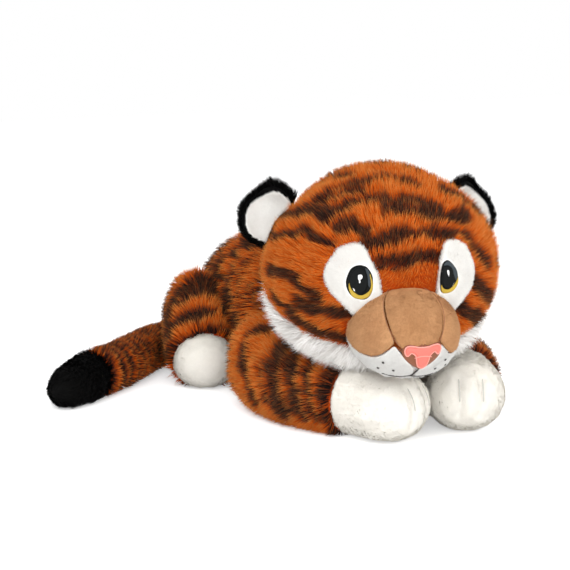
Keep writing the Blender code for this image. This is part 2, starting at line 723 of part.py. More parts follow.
def ear_layer(name, side, margin, low, high, material):
    """Adds one cupped layer of an ear, between two depths in front of the ear's back face."""
    tilt = math.radians(EAR_ELEVATION)
    normal_tilt = math.atan2(
        math.sin(tilt) / HEAD_HALF_HEIGHT**2, math.cos(tilt) / HEAD_HALF_WIDTH**2
    )
    along = np.array((-side * math.sin(normal_tilt), 0.0, math.cos(normal_tilt)))
    turn = Matrix.Rotation(math.radians(side * EAR_TURN), 3, along.tolist())
    facing = np.array(turn @ Vector((0.0, -1.0, 0.0)))
    outwards = np.cross(along, facing) * side
    base = ear_base(side)
    rows = 6
    columns = 8
    vertices = []
    for depth in (high, low):
        for row in range(rows + 1):
            reach_share = row / rows
            reach = margin + (EAR_LENGTH - 2.0 * margin) * math.sin(0.5 * math.pi * reach_share)
            half = (EAR_HALF_WIDTH - margin) * (0.72 + 0.28 * math.sin(math.pi * reach_share))
            half *= math.sqrt(max(1.0 - reach_share**4, 0.06))
            out_share = reach / EAR_LENGTH
            pinch = min(EAR_PINCH_SHARE + (1.0 - EAR_PINCH_SHARE) * out_share / EAR_PINCH_SPAN_SHARE, 1.0)
            for column in range(columns + 1):
                across = half * (2.0 * column / columns - 1.0)
                hollow_share = out_share * (1.0 - 0.6 * out_share)
                cup = EAR_CUP * 4.0 * hollow_share * (1.0 - (across / EAR_HALF_WIDTH) ** 2)
                drop = 0.5 * (1.0 - out_share) ** 2 * across**2 / HEAD_HALF_HEIGHT
                rise = outwards * (reach - drop) + along * (across + EAR_LIFT_SHARE * reach)
                vertices.append(base + rise + facing * (depth * pinch - cup))
    return solid(name, vertices, slab_faces(rows + 1, columns + 1), material)


def ear_base(side):
    """Returns the middle of an ear's base, just clear of the head."""
    tilt = math.radians(EAR_ELEVATION)
    direction = unit((side * math.cos(tilt), EAR_SETBACK / HEAD_HALF_WIDTH, math.sin(tilt)))
    return HEAD.point(direction, EAR_CLEARANCE)


def make_ear(label, side):
    """Makes the black back and the white lining of one ear."""
    half = 0.5 * EAR_BACK_THICKNESS
    back = ear_layer(f"ear_back_{label}", side, 0.0, -half, half, "black_fur")
    low = half + EAR_LAYER_GAP
    high = low + EAR_LINING_THICKNESS
    lining = ear_layer(f"ear_lining_{label}", side, EAR_LINING_MARGIN, low, high, "white_plush")
    return [back, lining]


def front_leg_form(name, side, inset=0.0):
    """Adds the form of one front leg with its paw."""
    stations = (
        (side * SHOULDER_ACROSS, SHOULDER_BACK, 0.0, SHOULDER_HALF_WIDTH, SHOULDER_HALF_HEIGHT),
        (side * FOREARM_ACROSS, FOREARM_BACK, 0.0, FOREARM_HALF_WIDTH, FOREARM_HALF_HEIGHT),
        (side * WRIST_ACROSS, WRIST_BACK, 0.0, WRIST_HALF_WIDTH, WRIST_HALF_HEIGHT),
        (side * PAW_ACROSS, PAW_BACK, 0.0, PAW_HALF_WIDTH, PAW_HALF_HEIGHT),
    )
    return swept_form(name, stations, SHOULDER_HALF_WIDTH, PAW_CAP, LIMB_SIDES, 2, inset)


def paw_seam(side):
    """Returns a point on the plane of a front paw's seam and the way that the paw points."""
    wrist = np.array((side * WRIST_ACROSS, WRIST_BACK, WRIST_HALF_HEIGHT))
    paw = np.array((side * PAW_ACROSS, PAW_BACK, WRIST_HALF_HEIGHT))
    return wrist + (paw - wrist) * PAW_SEAM_SPAN_SHARE, unit(paw - wrist)


def make_front_leg(label, side):
    """Makes the striped skin, the white paw and the filling of one front leg, and its toe stitches."""
    point, ahead = paw_seam(side)
    reach = 3.0 * SHOULDER_ACROSS
    skin = cut(
        front_leg_form(f"front_leg_skin_{label}", side), torso_form("torso_outside", -GAP),
        front_leg_form("inside", side, FUR_THICKNESS),
        half_space("seam", point - ahead * 0.5 * GAP, ahead, reach),
    )
    paw = cut(
        front_leg_form(f"front_paw_skin_{label}", side), front_leg_form("inside", side, FUR_THICKNESS),
        half_space("seam", point + ahead * 0.5 * GAP, -ahead, reach),
    )
    filling = cut(
        front_leg_form(f"front_leg_filling_{label}", side, FUR_THICKNESS + FILLING_GAP),
        torso_form("torso_outside", -GAP),
    )
    for piece, material in ((skin, "orange_fur"), (paw, "white_plush"), (filling, "fibre_filling")):
        dress(piece, material)
    return [skin, paw, filling] + [make_toe_stitch(label, side, index) for index in (1, 2)]


def make_toe_stitch(label, side, index):
    """Makes one toe stitch, a thread that follows the round front of a front paw."""
    _, ahead = paw_seam(side)
    sideways = np.array((-ahead[1], ahead[0], 0.0))
    across = TOE_STITCH_ACROSS * (1.0 if index == 1 else -1.0)
    squeeze = math.sqrt(1.0 - (across / PAW_HALF_WIDTH) ** 2)
    height = PAW_HALF_HEIGHT * math.cos(math.pi / LIMB_SIDES) - FLOOR_CUT
    centre = np.array((side * PAW_ACROSS, PAW_BACK, height))
    vertices = []
    angles = [math.radians(90.0 * (1.0 - share)) for share in TOE_STITCH_REACH_SHARES]
    for lift in (GAP + THREAD_THICKNESS, GAP):
        for angle in smooth_rows([(a,) for a in angles], 2)[:, 0]:
            for edge in (-TOE_STITCH_HALF_WIDTH, TOE_STITCH_HALF_WIDTH):
                forward = (PAW_CAP * squeeze + lift) * math.cos(angle)
                rise = (PAW_HALF_HEIGHT * squeeze + lift) * math.sin(angle)
                place = centre + ahead * forward + sideways * (across + edge)
                vertices.append(place + np.array((0.0, 0.0, rise)))
    return solid(f"toe_stitch_{label}_{index}", vertices, slab_faces(5, 2), "grey_thread")


def hind_leg_form(name, side, inset=0.0):
    """Adds the form of one hind leg, a tall haunch that runs forwards into the foot."""
    stations = (
        (side * HAUNCH_ACROSS, HAUNCH_BACK, 0.0, HAUNCH_HALF_WIDTH, HAUNCH_HALF_HEIGHT),
        (side * KNEE_ACROSS, KNEE_BACK, 0.0, KNEE_HALF_WIDTH, KNEE_HALF_HEIGHT),
        (side * FOOT_ACROSS, FOOT_BACK, 0.0, FOOT_HALF_WIDTH, FOOT_HALF_HEIGHT),
    )
    return swept_form(name, stations, HAUNCH_CAP, FOOT_CAP, LIMB_SIDES, 2, inset)


def make_hind_leg(label, side):
    """Makes the striped skin, the white paw and the filling of one hind leg."""
    knee = np.array((side * KNEE_ACROSS, KNEE_BACK, FOOT_HALF_HEIGHT))
    foot = np.array((side * FOOT_ACROSS, FOOT_BACK, FOOT_HALF_HEIGHT))
    ahead = unit(foot - knee)
    reach = 3.0 * HAUNCH_ACROSS
    inwards = (-side, 0.0, 0.0)
    plane = np.array((side * (HIP_PLANE + GAP), HAUNCH_BACK, HIP_HEIGHT))
    skin = cut(
        hind_leg_form(f"hind_leg_skin_{label}", side), half_space("hip_face", plane, inwards, reach),
        hind_leg_form("inside", side, FUR_THICKNESS),
        half_space("seam", foot - ahead * 0.5 * GAP, ahead, reach),
    )
    paw = cut(
        hind_leg_form(f"hind_paw_skin_{label}", side), half_space("hip_face", plane, inwards, reach),
        hind_leg_form("inside", side, FUR_THICKNESS),
        half_space("seam", foot + ahead * 0.5 * GAP, -ahead, reach),
    )
    filling = cut(
        hind_leg_form(f"hind_leg_filling_{label}", side, FUR_THICKNESS + FILLING_GAP),
        half_space("hip_face", plane, inwards, reach),
    )
    for piece, material in ((skin, "orange_fur"), (paw, "white_plush"), (filling, "fibre_filling")):
        dress(piece, material)
    return [skin, paw, filling]


def tail_stations():
    """Returns the tail's stations from its root to near its tip."""
    stations = [(TAIL_ROOT[0], TAIL_ROOT[1], 0.0, TAIL_HALF_WIDTH, TAIL_HALF_WIDTH)]
    for index, (across_share, back_share) in enumerate(TAIL_PLACE_SHARES, 1):
        half = TAIL_HALF_WIDTH + (TAIL_END_HALF_WIDTH - TAIL_HALF_WIDTH) * index / len(TAIL_PLACE_SHARES)
        stations.append((-TAIL_SWEEP_ACROSS * across_share, TAIL_SWEEP_BACK * back_share, 0.0, half, half))
    return stations


def tail_form(name, inset=0.0):
    """Adds the tail's form."""
    return swept_form(name, tail_stations(), TAIL_HALF_WIDTH, TAIL_END_HALF_WIDTH, TAIL_SIDES, 2, inset)


def rump_tool():
    """Adds the rump as a tool, with room left for the round root of the tail."""
    root = Ball(TAIL_ROOT, (TAIL_HALF_WIDTH,) * 3)
    return cut(torso_form("rump", -GAP), root.form("tail_socket", 0.5 * GAP, CUTTER_SEGMENTS, CUTTER_RINGS))


def make_tail():
    """Makes the striped skin, the black tip and the filling of the tail."""
    rows = smooth_rows(tail_stations(), 2)
    index = round(TAIL_TIP_SPAN_SHARE * (len(rows) - 1))
    point = np.array((rows[index][0], rows[index][1], TAIL_HALF_WIDTH))
    ahead = unit((*(rows[index + 1] - rows[index - 1])[:2], 0.0))
    reach = 0.5 * TAIL_ROOT_BACK
    skin = cut(
        tail_form("tail_skin"), rump_tool(), tail_form("inside", FUR_THICKNESS),
        half_space("seam", point - ahead * 0.5 * GAP, ahead, reach),
    )
    tip = cut(
        tail_form("tail_tip"), tail_form("inside", FUR_THICKNESS),
        half_space("seam", point + ahead * 0.5 * GAP, -ahead, 3.0 * reach),
    )
    filling = cut(tail_form("tail_filling", FUR_THICKNESS + FILLING_GAP), rump_tool())
    for piece, material in ((skin, "orange_fur"), (tip, "black_fur"), (filling, "fibre_filling")):
        dress(piece, material)
    return [skin, tip, filling]


def pivot(name, place, parent):
    """Adds an empty on a joint's axis."""
    made = bpy.data.objects.new(name, None)
    bpy.context.scene.collection.objects.link(made)
    made.empty_display_size = OVERRUN
    made.parent = parent
    start = parent.matrix_world.translation if parent else (0.0, 0.0, 0.0)
    made.location = [float(a - b) for a, b in zip(place, start)]
    bpy.context.view_layer.update()
    return made


def hang(pieces, holder):
    """Parents pieces to an empty without moving them."""
    for piece in pieces:
        piece.parent = holder
        piece.matrix_parent_inverse = holder.matrix_world.inverted()


def build():
    """Builds the whole tiger and stands its origin under the middle of its box."""
    for leftover in list(bpy.data.objects):
        bpy.data.objects.remove(leftover)
    centre = pivot("tiger", (0.0, 0.0, 0.0), None)
    hang(make_torso(), centre)
    turn = pivot("head_turn", NECK, centre)
    hang(make_neck(), turn)
    nod = pivot("head_nod", NECK, turn)
    head = make_head() + make_muzzle() + make_nose_and_mouth() + make_eyes()
    ears = {}
    for label, side in (("right", -1), ("left", 1)):
        ears[label] = make_ear(label, side)
        head += ears[label]
    for piece in head:
        piece.data.transform(HEAD_PLACE)
    hang([piece for piece in head if piece not in ears["right"] + ears["left"]], nod)
    for label, side in (("right", -1), ("left", 1)):
        base = HEAD_PLACE @ Matrix.Translation(ear_base(side).tolist())
        hang(ears[label], pivot(f"ear_fold_{label}", base.translation, nod))
        shoulder = (side * SHOULDER_ACROSS, SHOULDER_BACK + SHOULDER_HALF_WIDTH, SHOULDER_HALF_HEIGHT)
        hang(make_front_leg(label, side), pivot(f"front_leg_spread_{label}", shoulder, centre))
        hip = (side * HIP_PLANE, HAUNCH_BACK, HIP_HEIGHT)
        hang(make_hind_leg(label, side), pivot(f"hind_leg_lift_{label}", hip, centre))
    hang(make_tail(), pivot("tail_swing", TAIL_ROOT, centre))
    corners = [
        v.co for piece in bpy.data.objects if piece.type == "MESH" for v in piece.data.vertices
    ]
    for axis in (0, 1):
        values = [corner[axis] for corner in corners]
        centre.location[axis] = -0.5 * (min(values) + max(values))


build()
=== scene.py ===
"""Looks of a plush tiger that lies on its belly: pile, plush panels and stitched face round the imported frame.

The tiger faces -Y with +Z up and its right side towards -X. Lengths are in metres and angles in degrees.
"""

import json
import logging
import math
from collections.abc import Callable, Sequence
from dataclasses import dataclass, field
from enum import Enum

import bmesh
import bpy
import numpy as np
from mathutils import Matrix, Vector
from mathutils.bvhtree import BVHTree
from mathutils.geometry import delaunay_2d_cdt
from mathutils.kdtree import KDTree

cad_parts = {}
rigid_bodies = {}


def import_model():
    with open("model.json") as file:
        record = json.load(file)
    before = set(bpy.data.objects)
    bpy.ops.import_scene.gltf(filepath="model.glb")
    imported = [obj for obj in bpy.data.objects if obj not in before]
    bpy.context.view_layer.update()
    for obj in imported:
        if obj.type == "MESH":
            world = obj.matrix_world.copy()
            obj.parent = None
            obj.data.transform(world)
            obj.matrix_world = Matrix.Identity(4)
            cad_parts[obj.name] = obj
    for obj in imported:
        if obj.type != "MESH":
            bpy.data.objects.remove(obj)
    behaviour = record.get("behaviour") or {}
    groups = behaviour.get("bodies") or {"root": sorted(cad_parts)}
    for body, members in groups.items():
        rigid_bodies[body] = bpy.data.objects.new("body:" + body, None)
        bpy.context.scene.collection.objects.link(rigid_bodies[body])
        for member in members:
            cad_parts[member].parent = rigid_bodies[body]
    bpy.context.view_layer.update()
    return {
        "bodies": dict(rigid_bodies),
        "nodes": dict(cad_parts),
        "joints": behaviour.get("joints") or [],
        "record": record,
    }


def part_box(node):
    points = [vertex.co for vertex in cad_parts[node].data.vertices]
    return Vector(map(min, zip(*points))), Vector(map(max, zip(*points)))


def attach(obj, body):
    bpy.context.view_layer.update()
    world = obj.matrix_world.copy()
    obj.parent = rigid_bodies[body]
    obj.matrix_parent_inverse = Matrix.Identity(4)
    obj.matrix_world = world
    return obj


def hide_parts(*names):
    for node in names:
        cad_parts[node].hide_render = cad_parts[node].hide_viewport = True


log = logging.getLogger("plush_tiger")

# The name of the map that the pieces are unwrapped into.
BAKE_MAP = "OFBake"

# Where the body's own frame stands in the row frame, and how far the head is turned.
BODY_PLACE = np.array((0.07159, -0.02066, 0.0))
HEAD_YAW = -15.5
MILLIMETRE = 0.001
WHITE = (1.0, 1.0, 1.0)

# Printed stripes: where they lie, how fine their lines are, how much wider they spread than drawn,
# and between which shares of the half width their dye fades.
STRIPE_RISE = 0.002
STRIPE_STEP = 0.004
HEAD_STRIPE_SPREAD = 1.75
LEG_STRIPE_SPREAD = 1.65
STRIPE_FADE = (0.6, 1.35)
STRIPE_SHIFT = (0.0016, 0.02)
STRIPE_THINNING = (0.25, 0.03)
LEAST_STRIPE = 0.4
BAND_FADE = (0.7, 1.25)
BAND_THINNING = 0.45

# Pile: which way a triangle faces to carry it, what is pressed on the table, the strands' limits, and the painted shade
# on a skin's base under its strands.
FACING_OUT = 0.3
PRESSED_HEIGHT = 0.0025
PRESSED_NORMAL = -0.9
LOWEST_STRAND = 0.0002
# A skin's base gets this tuft value and the roots' colour, which darken it: painted shade under the pile.
BASE_PAINTED_SHADE = 0.45

# Forms: which pairs of triangles become one face, and how fine curves and cords are.
FLAT_BEND = 35.0
FLAT_SHAPE = 40.0
CURVE_PARTS = 12
CORD_SIDES = 6
CORD_END = 0.35
THREAD_LIFT = 0.0004
UNDERSIDE = 0.2
RIM_GAP = 0.6

Points = np.ndarray
Spot = tuple[float, float, float]
Knots = Sequence[tuple[float, float]]
Colour = tuple[float, float, float]
Socket = bpy.types.NodeSocket
Flow = Callable[[Points, Points], Points]
Marks = Callable[[Points], Points]
Keep = Callable[[Points, Points], Points]


class Side(Enum):
    """A side of the tiger, with its sign along X."""

    RIGHT = -1
    LEFT = 1

    @property
    def label(self) -> str:
        """Returns the word that piece names use."""
        return self.name.lower()


def unit(rows: Points) -> Points:
    """Returns the rows scaled to length one."""
    return rows / np.maximum(np.linalg.norm(rows, axis=-1, keepdims=True), 1e-12)


def smooth_step(low: float, high: float, values: Points) -> Points:
    """Returns values eased from 0 at low to 1 at high."""
    share = np.clip((values - low) / (high - low), 0.0, 1.0)
    return share * share * (3.0 - 2.0 * share)


def ripple(places: Points, wavelength: float, seed: int) -> Points:
    """Gives a smooth wandering value at each place.

    Args:
        places: Points, one per row.
        wavelength: Rough length of one wander.
        seed: Picks one of many such fields.

    Returns:
        Values from about -1 to 1.
    """
    rng = np.random.default_rng(seed)
    turns = unit(rng.normal(size=(7, 3))) * rng.uniform(0.6, 1.7, (7, 1)) * 2.0 * math.pi / wavelength
    starts = rng.uniform(0.0, 2.0 * math.pi, 7)
    return np.sin(places @ turns.T + starts).sum(axis=1) / 2.6


@dataclass(frozen=True)
class Wander:
    """A smooth field of small shifts: its size, the length of its waves and its seed."""

    size: float
    wavelength: float
    seed: int

    def at(self, places: Points) -> Points:
        """Returns the shift at each place."""
        return self.size * ripple(places, self.wavelength, self.seed)


TURN_WAVES = Wander(1.0, 0.05, 3)
LENGTH_WAVES = Wander(0.12, 0.03, 5)


def flattened(ways: Points, normals: Points) -> Points:
    """Returns ways laid flat on the surface that has the normals."""
    return ways - (ways * normals).sum(axis=1, keepdims=True) * normals


def nearest_on(places: Points, line: Points) -> tuple[Points, Points]:
    """Finds the nearest point of a line for each place.

    Args:
        places: Points, one per row.
        line: The line's points in order.

    Returns:
        The nearest points, and how far along the line each lies.
    """
    best = np.full(len(places), np.inf)
    nearest = np.zeros_like(places)
    along = np.zeros(len(places))
    start = 0.0
    for a, b in zip(line[:-1], line[1:]):
        span = b - a
        share = np.clip((places - a) @ span / (span @ span), 0.0, 1.0)
        candidate = a + share[:, None] * span
        apart = np.linalg.norm(places - candidate, axis=1)
        closer = apart < best
        best[closer] = apart[closer]
        nearest[closer] = candidate[closer]
        along[closer] = start + share[closer] * np.linalg.norm(span)
        start += np.linalg.norm(span)
    return nearest, along


@dataclass(frozen=True)
class Egg:
    """A rounded form of the face, with its middle, its half sizes and its turn about Z."""

    centre: Spot
    halves: Spot
    yaw: float = HEAD_YAW

    def spin(self) -> Points:
        """Returns the matrix that turns the form's own frame into the row frame."""
        c, s = math.cos(math.radians(self.yaw)), math.sin(math.radians(self.yaw))
        return np.array(((c, -s, 0.0), (s, c, 0.0), (0.0, 0.0, 1.0)))

    def angles(self, places: Points) -> tuple[Points, Points]:
        """Reads places as angles.

        Args:
            places: Points, one per row.

        Returns:
            The azimuth from the face's front towards the tiger's left, and the elevation.
        """
        shares = (places - self.centre) @ self.spin() / self.halves
        level = np.hypot(shares[:, 0], shares[:, 1])
        return np.degrees(np.arctan2(shares[:, 0], -shares[:, 1])), np.degrees(np.arctan2(shares[:, 2], level))

    def line(self, angles: Knots, rise: float = 0.0) -> Points:
        """Finds the places at pairs of angles.

        Args:
            angles: Azimuths and elevations.
            rise: How far outside the form the places lie.

        Returns:
            The places, one per row.
        """
        a, e = np.radians(np.array(angles, dtype=float)).T
        ways = np.stack((np.sin(a) * np.cos(e), -np.cos(a) * np.cos(e), np.sin(e)), axis=1)
        return np.array(self.centre) + (ways * (np.array(self.halves) + rise)) @ self.spin().T


HEAD = Egg((0.0502, -0.1178, 0.158), (0.113, 0.100, 0.097))
MUZZLE = Egg((0.02722, -0.20067, 0.112), (0.053, 0.056, 0.046))


class Nodes:
    """Builds one material's node tree in few words."""

    def __init__(self, name: str) -> None:
        """Starts a material with a Principled surface.

        Args:
            name: The material's name.
        """
        self.material = bpy.data.materials.new(name)
        self.material.use_nodes = True
        self.tree = self.material.node_tree
        self.shader = self.tree.nodes["Principled BSDF"]

    def add(self, kind: str, **settings: object) -> bpy.types.Node:
        """Adds a node and sets its options.

        Args:
            kind: The node's Blender type.
            settings: Options of the node by name.

        Returns:
            The node.
        """
        node = self.tree.nodes.new(kind)
        for option, value in settings.items():
            setattr(node, option, value)
        return node

    def join(self, source: Socket, target: Socket) -> None:
        """Links a source socket to a target socket."""
        self.tree.links.new(source, target)

    def value(self, name: str) -> Socket:
        """Reads a number that is stored at each point of the mesh."""
        return self.add("ShaderNodeAttribute", attribute_name=name).outputs["Fac"]

    def place(self, name: str) -> Socket:
        """Reads a vector that is stored at each point of the mesh."""
        return self.add("ShaderNodeAttribute", attribute_name=name).outputs["Vector"]

    def ramp(self, fac: Socket, stops: Sequence[tuple[float, Colour]]) -> Socket:
        """Turns a number into a colour.

        Args:
            fac: The number.
            stops: Places from 0 to 1 with their colours.

        Returns:
            The colour.
        """
        node = self.add("ShaderNodeValToRGB")
        elements = node.color_ramp.elements
        while len(elements) < len(stops):
            elements.new(0.5)
        for element, (place, colour) in zip(elements, stops):
            element.position = place
            element.color = (*colour, 1.0)
        self.join(fac, node.inputs["Fac"])
        return node.outputs["Color"]

    def mix(self, fac: Socket | float, first: object, second: object, blend: str = "MIX") -> Socket:
        """Mixes two colours.

        Args:
            fac: Share of the second colour.
            first: A colour or a socket.
            second: A colour or a socket.
            blend: The way of mixing.

        Returns:
            The mixed colour.
        """
        node = self.add("ShaderNodeMix", data_type="RGBA", blend_type=blend)
        for socket, given in ((node.inputs[0], fac), (node.inputs[6], first), (node.inputs[7], second)):
            if isinstance(given, Socket):
                self.join(given, socket)
            else:
                socket.default_value = (*given, 1.0) if isinstance(given, tuple) else given
        return node.outputs[2]

    def noise(self, scale: float, detail: float = 2.0, vector: Socket | None = None) -> Socket:
        """Adds a cloudy pattern.

        Args:
            scale: Waves per metre.
            detail: Number of finer layers.
            vector: Where the pattern is read, or None for the mesh's own coordinates.

        Returns:
            The pattern's value.
        """
        node = self.add("ShaderNodeTexNoise")
        node.inputs["Scale"].default_value = scale
        node.inputs["Detail"].default_value = detail
        self.join(vector or self.add("ShaderNodeTexCoord").outputs["Object"], node.inputs["Vector"])
        return node.outputs["Fac"]

    def bump(self, height: Socket, distance: float, strength: float = 1.0) -> None:
        """Raises the surface by a pattern.

        Args:
            height: The pattern.
            distance: Height of the pattern in metres.
            strength: Share of the effect.
        """
        node = self.add("ShaderNodeBump")
        node.inputs["Distance"].default_value = distance
        node.inputs["Strength"].default_value = strength
        self.join(height, node.inputs["Height"])
        self.join(node.outputs["Normal"], self.shader.inputs["Normal"])

    def dye(self, colour: Socket, shade: Socket) -> None:
        """Gives the surface a colour times a shade."""
        self.join(self.mix(1.0, colour, shade, "MULTIPLY"), self.shader.inputs["Base Color"])

    def surface(
        self, roughness: float, sheen: float, tint: Colour = WHITE, specular: float = 0.25
    ) -> None:
        """Sets the plain numbers of the surface.

        Args:
            roughness: Roughness of the surface.
            sheen: Weight of the cloth's sheen.
            tint: Colour of the sheen.
            specular: Strength of the gloss.
        """
        self.shader.inputs["Roughness"].default_value = roughness
        self.shader.inputs["Sheen Weight"].default_value = sheen
        self.shader.inputs["Sheen Roughness"].default_value = 0.5
        self.shader.inputs["Sheen Tint"].default_value = (*tint, 1.0)
        self.shader.inputs["Specular IOR Level"].default_value = specular


@dataclass(frozen=True)
class LongPile:
    """Finish of long-pile cloth, whose strands change colour from root to tip and in the printed stripes; the darker
    roots are painted shade deep in the pile, and the paler tips are partly the cloth's own tipping and partly painted
    light through the tips.
    """

    name: str
    ground: tuple[Colour, Colour, Colour]
    stripe: tuple[Colour, Colour, Colour] | None = None
    sheen: float = 0.12
    places: tuple[float, float, float, float] = (0.0, 0.3, 0.55, 0.95)
    shade: Colour = (0.74, 0.72, 0.70)
    roughness: float = 0.82
    specular: float = 0.08

    def make(self) -> bpy.types.Material:
        """Makes the material of the cloth.

        Returns:
            The material.
        """
        nodes = Nodes(self.name)
        along, tuft = nodes.value("along"), nodes.value("tuft")
        # The root colour is painted shade deep in the pile; the tip colour is partly the cloth's own tipping and partly
        # painted light through the tips.
        ground, stripe = (
            nodes.ramp(along, list(zip(self.places, (root, middle, middle, tip))))
            for root, middle, tip in (self.ground, self.stripe or self.ground)
        )
        dyed = nodes.mix(nodes.value("mark"), ground, stripe)
        nodes.dye(dyed, nodes.ramp(tuft, ((0.0, self.shade), (1.0, WHITE))))
        nodes.surface(self.roughness, self.sheen, self.ground[2], self.specular)
        return nodes.material


@dataclass(frozen=True)
class ShortPlush:
    """Finish of short plush, with a soft nap and faint clouds where it is brushed."""

    name: str
    colour: Colour
    shadow: Colour
    nap: float = 0.0004
    grain: float = 0.25
    cloud_waves: float = 60.0
    grain_waves: float = 600.0
    nap_waves: float = 1400.0
    shade: Colour = (0.94, 0.94, 0.94)
    grain_shade: Colour = (0.88, 0.87, 0.86)
    roughness: float = 0.9
    sheen: float = 0.15
    specular: float = 0.1

    def make(self) -> bpy.types.Material:
        """Makes the material of the plush.

        Returns:
            The material.
        """
        nodes = Nodes(self.name)
        root = nodes.place("root")
        brushed = nodes.noise(self.cloud_waves, 3.0, root)
        clouds = nodes.ramp(brushed, ((0.35, self.shadow), (0.62, self.colour)))
        shade = nodes.ramp(nodes.value("tuft"), ((0.0, self.shade), (1.0, WHITE)))
        grain = nodes.ramp(nodes.noise(self.grain_waves, 2.0, root), ((0.35, self.grain_shade), (0.60, WHITE)))
        grained = nodes.mix(self.grain, clouds, nodes.mix(1.0, clouds, grain, "MULTIPLY"))
        nodes.dye(grained, shade)
        nodes.bump(nodes.noise(self.nap_waves, 2.0, root), self.nap)
        nodes.surface(self.roughness, self.sheen, self.colour, self.specular)
        return nodes.material


@dataclass(frozen=True)
class SatinThread:
    """Finish of satin stitching, with its threads side by side."""

    name: str
    colour: Colour
    second: Colour = (0.0, 0.0, 0.0)
    turn: float = 0.0
    thread: float = 0.00045
    gloss: float = 0.3
    wave_size: float = 0.31
    uneven: float = 1.2
    shade: Colour = (0.78, 0.78, 0.78)
    relief: float = 0.0002
    relief_share: float = 0.6
    roughness: float = 0.5

    def make(self) -> bpy.types.Material:
        """Makes the material of the thread, whose second colour shows where the mark is one.

        Returns:
            The material.
        """
        nodes = Nodes(self.name)
        mapping = nodes.add("ShaderNodeMapping")
        mapping.inputs["Rotation"].default_value = (0.0, math.radians(self.turn), math.radians(HEAD_YAW))
        nodes.join(nodes.add("ShaderNodeTexCoord").outputs["Object"], mapping.inputs["Vector"])
        wave = nodes.add("ShaderNodeTexWave", wave_type="BANDS", bands_direction="X")
        wave.inputs["Scale"].default_value = self.wave_size / self.thread
        wave.inputs["Distortion"].default_value = self.uneven
        wave.inputs["Detail"].default_value = 1.0
        nodes.join(mapping.outputs["Vector"], wave.inputs["Vector"])
        shade = nodes.ramp(wave.outputs["Fac"], ((0.0, self.shade), (0.55, WHITE)))
        nodes.dye(nodes.mix(nodes.value("mark"), self.colour, self.second), shade)
        nodes.bump(wave.outputs["Fac"], self.relief, self.relief_share)
        nodes.surface(self.roughness, 0.0, self.colour, self.gloss)
        return nodes.material


Finish = LongPile | ShortPlush | SatinThread
SewnPiece = tuple[bpy.types.Object, SatinThread, str]


@dataclass(frozen=True)
class Pile:
    """Strands of one cloth: their sizes in metres, their rise and scatter in degrees, and how they clump.

    The tints are a strand's middle brightness, its own scatter and the scatter that its clump shares.
    """

    length: float
    width: float
    count: int
    rise_low: float = 48.0
    rise_high: float = 16.0
    wander: float = 12.0
    scatter: float = 10.0
    clump: float = 0.25
    clump_every: int = 12
    uneven: float = 0.3
    sink: float = 0.0006
    facing: float = 0.75
    bend: float = 0.45
    low_scatter: float = 8.0
    high_scatter: float = 9.0
    twist: float = 0.55
    slimmer: float = 0.8
    clump_pulls: tuple[float, float] = (0.5, 1.4)
    bend_pull: float = 0.35
    widths: tuple[float, float] = (0.7, 1.3)
    tints: tuple[float, float, float] = (0.5, 0.28, 0.25)
    dye_reach: float = 0.6
    dye_scatter: float = 0.14


class Sheet:
    """Vertices and faces of a skin's base, read as arrays."""

    def __init__(self, mesh: bpy.types.Mesh) -> None:
        """Reads the arrays of a mesh.

        Args:
            mesh: The base of a skin.
        """
        self.places = np.zeros(len(mesh.vertices) * 3)
        mesh.vertices.foreach_get("co", self.places)
        self.places = self.places.reshape(-1, 3)
        self.normals = np.zeros(len(mesh.vertices) * 3)
        mesh.vertices.foreach_get("normal", self.normals)
        self.normals = self.normals.reshape(-1, 3)
        self.faces = [tuple(face.vertices) for face in mesh.polygons]
        mesh.calc_loop_triangles()
        corners = np.zeros(len(mesh.loop_triangles) * 3, dtype=np.int32)
        mesh.loop_triangles.foreach_get("vertices", corners)
        self.triangles = corners.reshape(-1, 3)

    def roots(self, count: int, keep: Keep, rng: np.random.Generator) -> tuple[Points, Points]:
        """Scatters strand roots over the side that shows.

        Args:
            count: Number of strands.
            keep: Tells from centres and normals which triangles carry pile.
            rng: Source of the scatter.

        Returns:
            The roots, and the surface's normals there.
        """
        a, b, c = (self.places[self.triangles[:, i]] for i in range(3))
        cross = np.cross(b - a, c - a)
        areas = np.linalg.norm(cross, axis=1)
        areas = areas * keep((a + b + c) / 3.0, unit(cross))
        chosen = rng.choice(len(areas), count, p=areas / areas.sum())
        first, second = np.sqrt(rng.random(count)), rng.random(count)
        shares = np.stack((1.0 - first, first * (1.0 - second), first * second), axis=1)
        corners = self.triangles[chosen]
        roots = (self.places[corners] * shares[:, :, None]).sum(axis=1)
        return roots, unit((self.normals[corners] * shares[:, :, None]).sum(axis=1))


def linked(name: str, data: bpy.types.ID) -> bpy.types.Object:
    """Makes an object and puts it into the scene.

    Args:
        name: Name of the object.
        data: Its mesh, lamp or camera.

    Returns:
        The object.
    """
    made = bpy.data.objects.new(name, data)
    bpy.context.scene.collection.objects.link(made)
    return made


def welded(node: bpy.types.Object) -> bmesh.types.BMesh:
    """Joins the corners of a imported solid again, which the frame's file keeps apart.

    Args:
        node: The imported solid.

    Returns:
        Its mesh with shared corners.
    """
    shell = bmesh.new()
    shell.from_mesh(node.data)
    bmesh.ops.remove_doubles(shell, verts=shell.verts, dist=1e-6)
    return shell


def settled(name: str, shell: bmesh.types.BMesh, modifiers: Sequence[tuple[str, dict]]) -> bpy.types.Mesh:
    """Runs modifiers over a mesh and keeps the result.

    Args:
        name: Name of the result.
        shell: The mesh to start from, freed afterwards.
        modifiers: Blender's modifier types in order, with their options.

    Returns:
        The new mesh.
    """
    mesh = bpy.data.meshes.new(name)
    shell.to_mesh(mesh)
    shell.free()
    work = linked(name, mesh)
    for kind, options in modifiers:
        modifier = work.modifiers.new(kind, kind)
        for option, value in options.items():
            setattr(modifier, option, value)
    graph = bpy.context.evaluated_depsgraph_get()
    made = bpy.data.meshes.new_from_object(work.evaluated_get(graph))
    bpy.data.objects.remove(work)
    return made


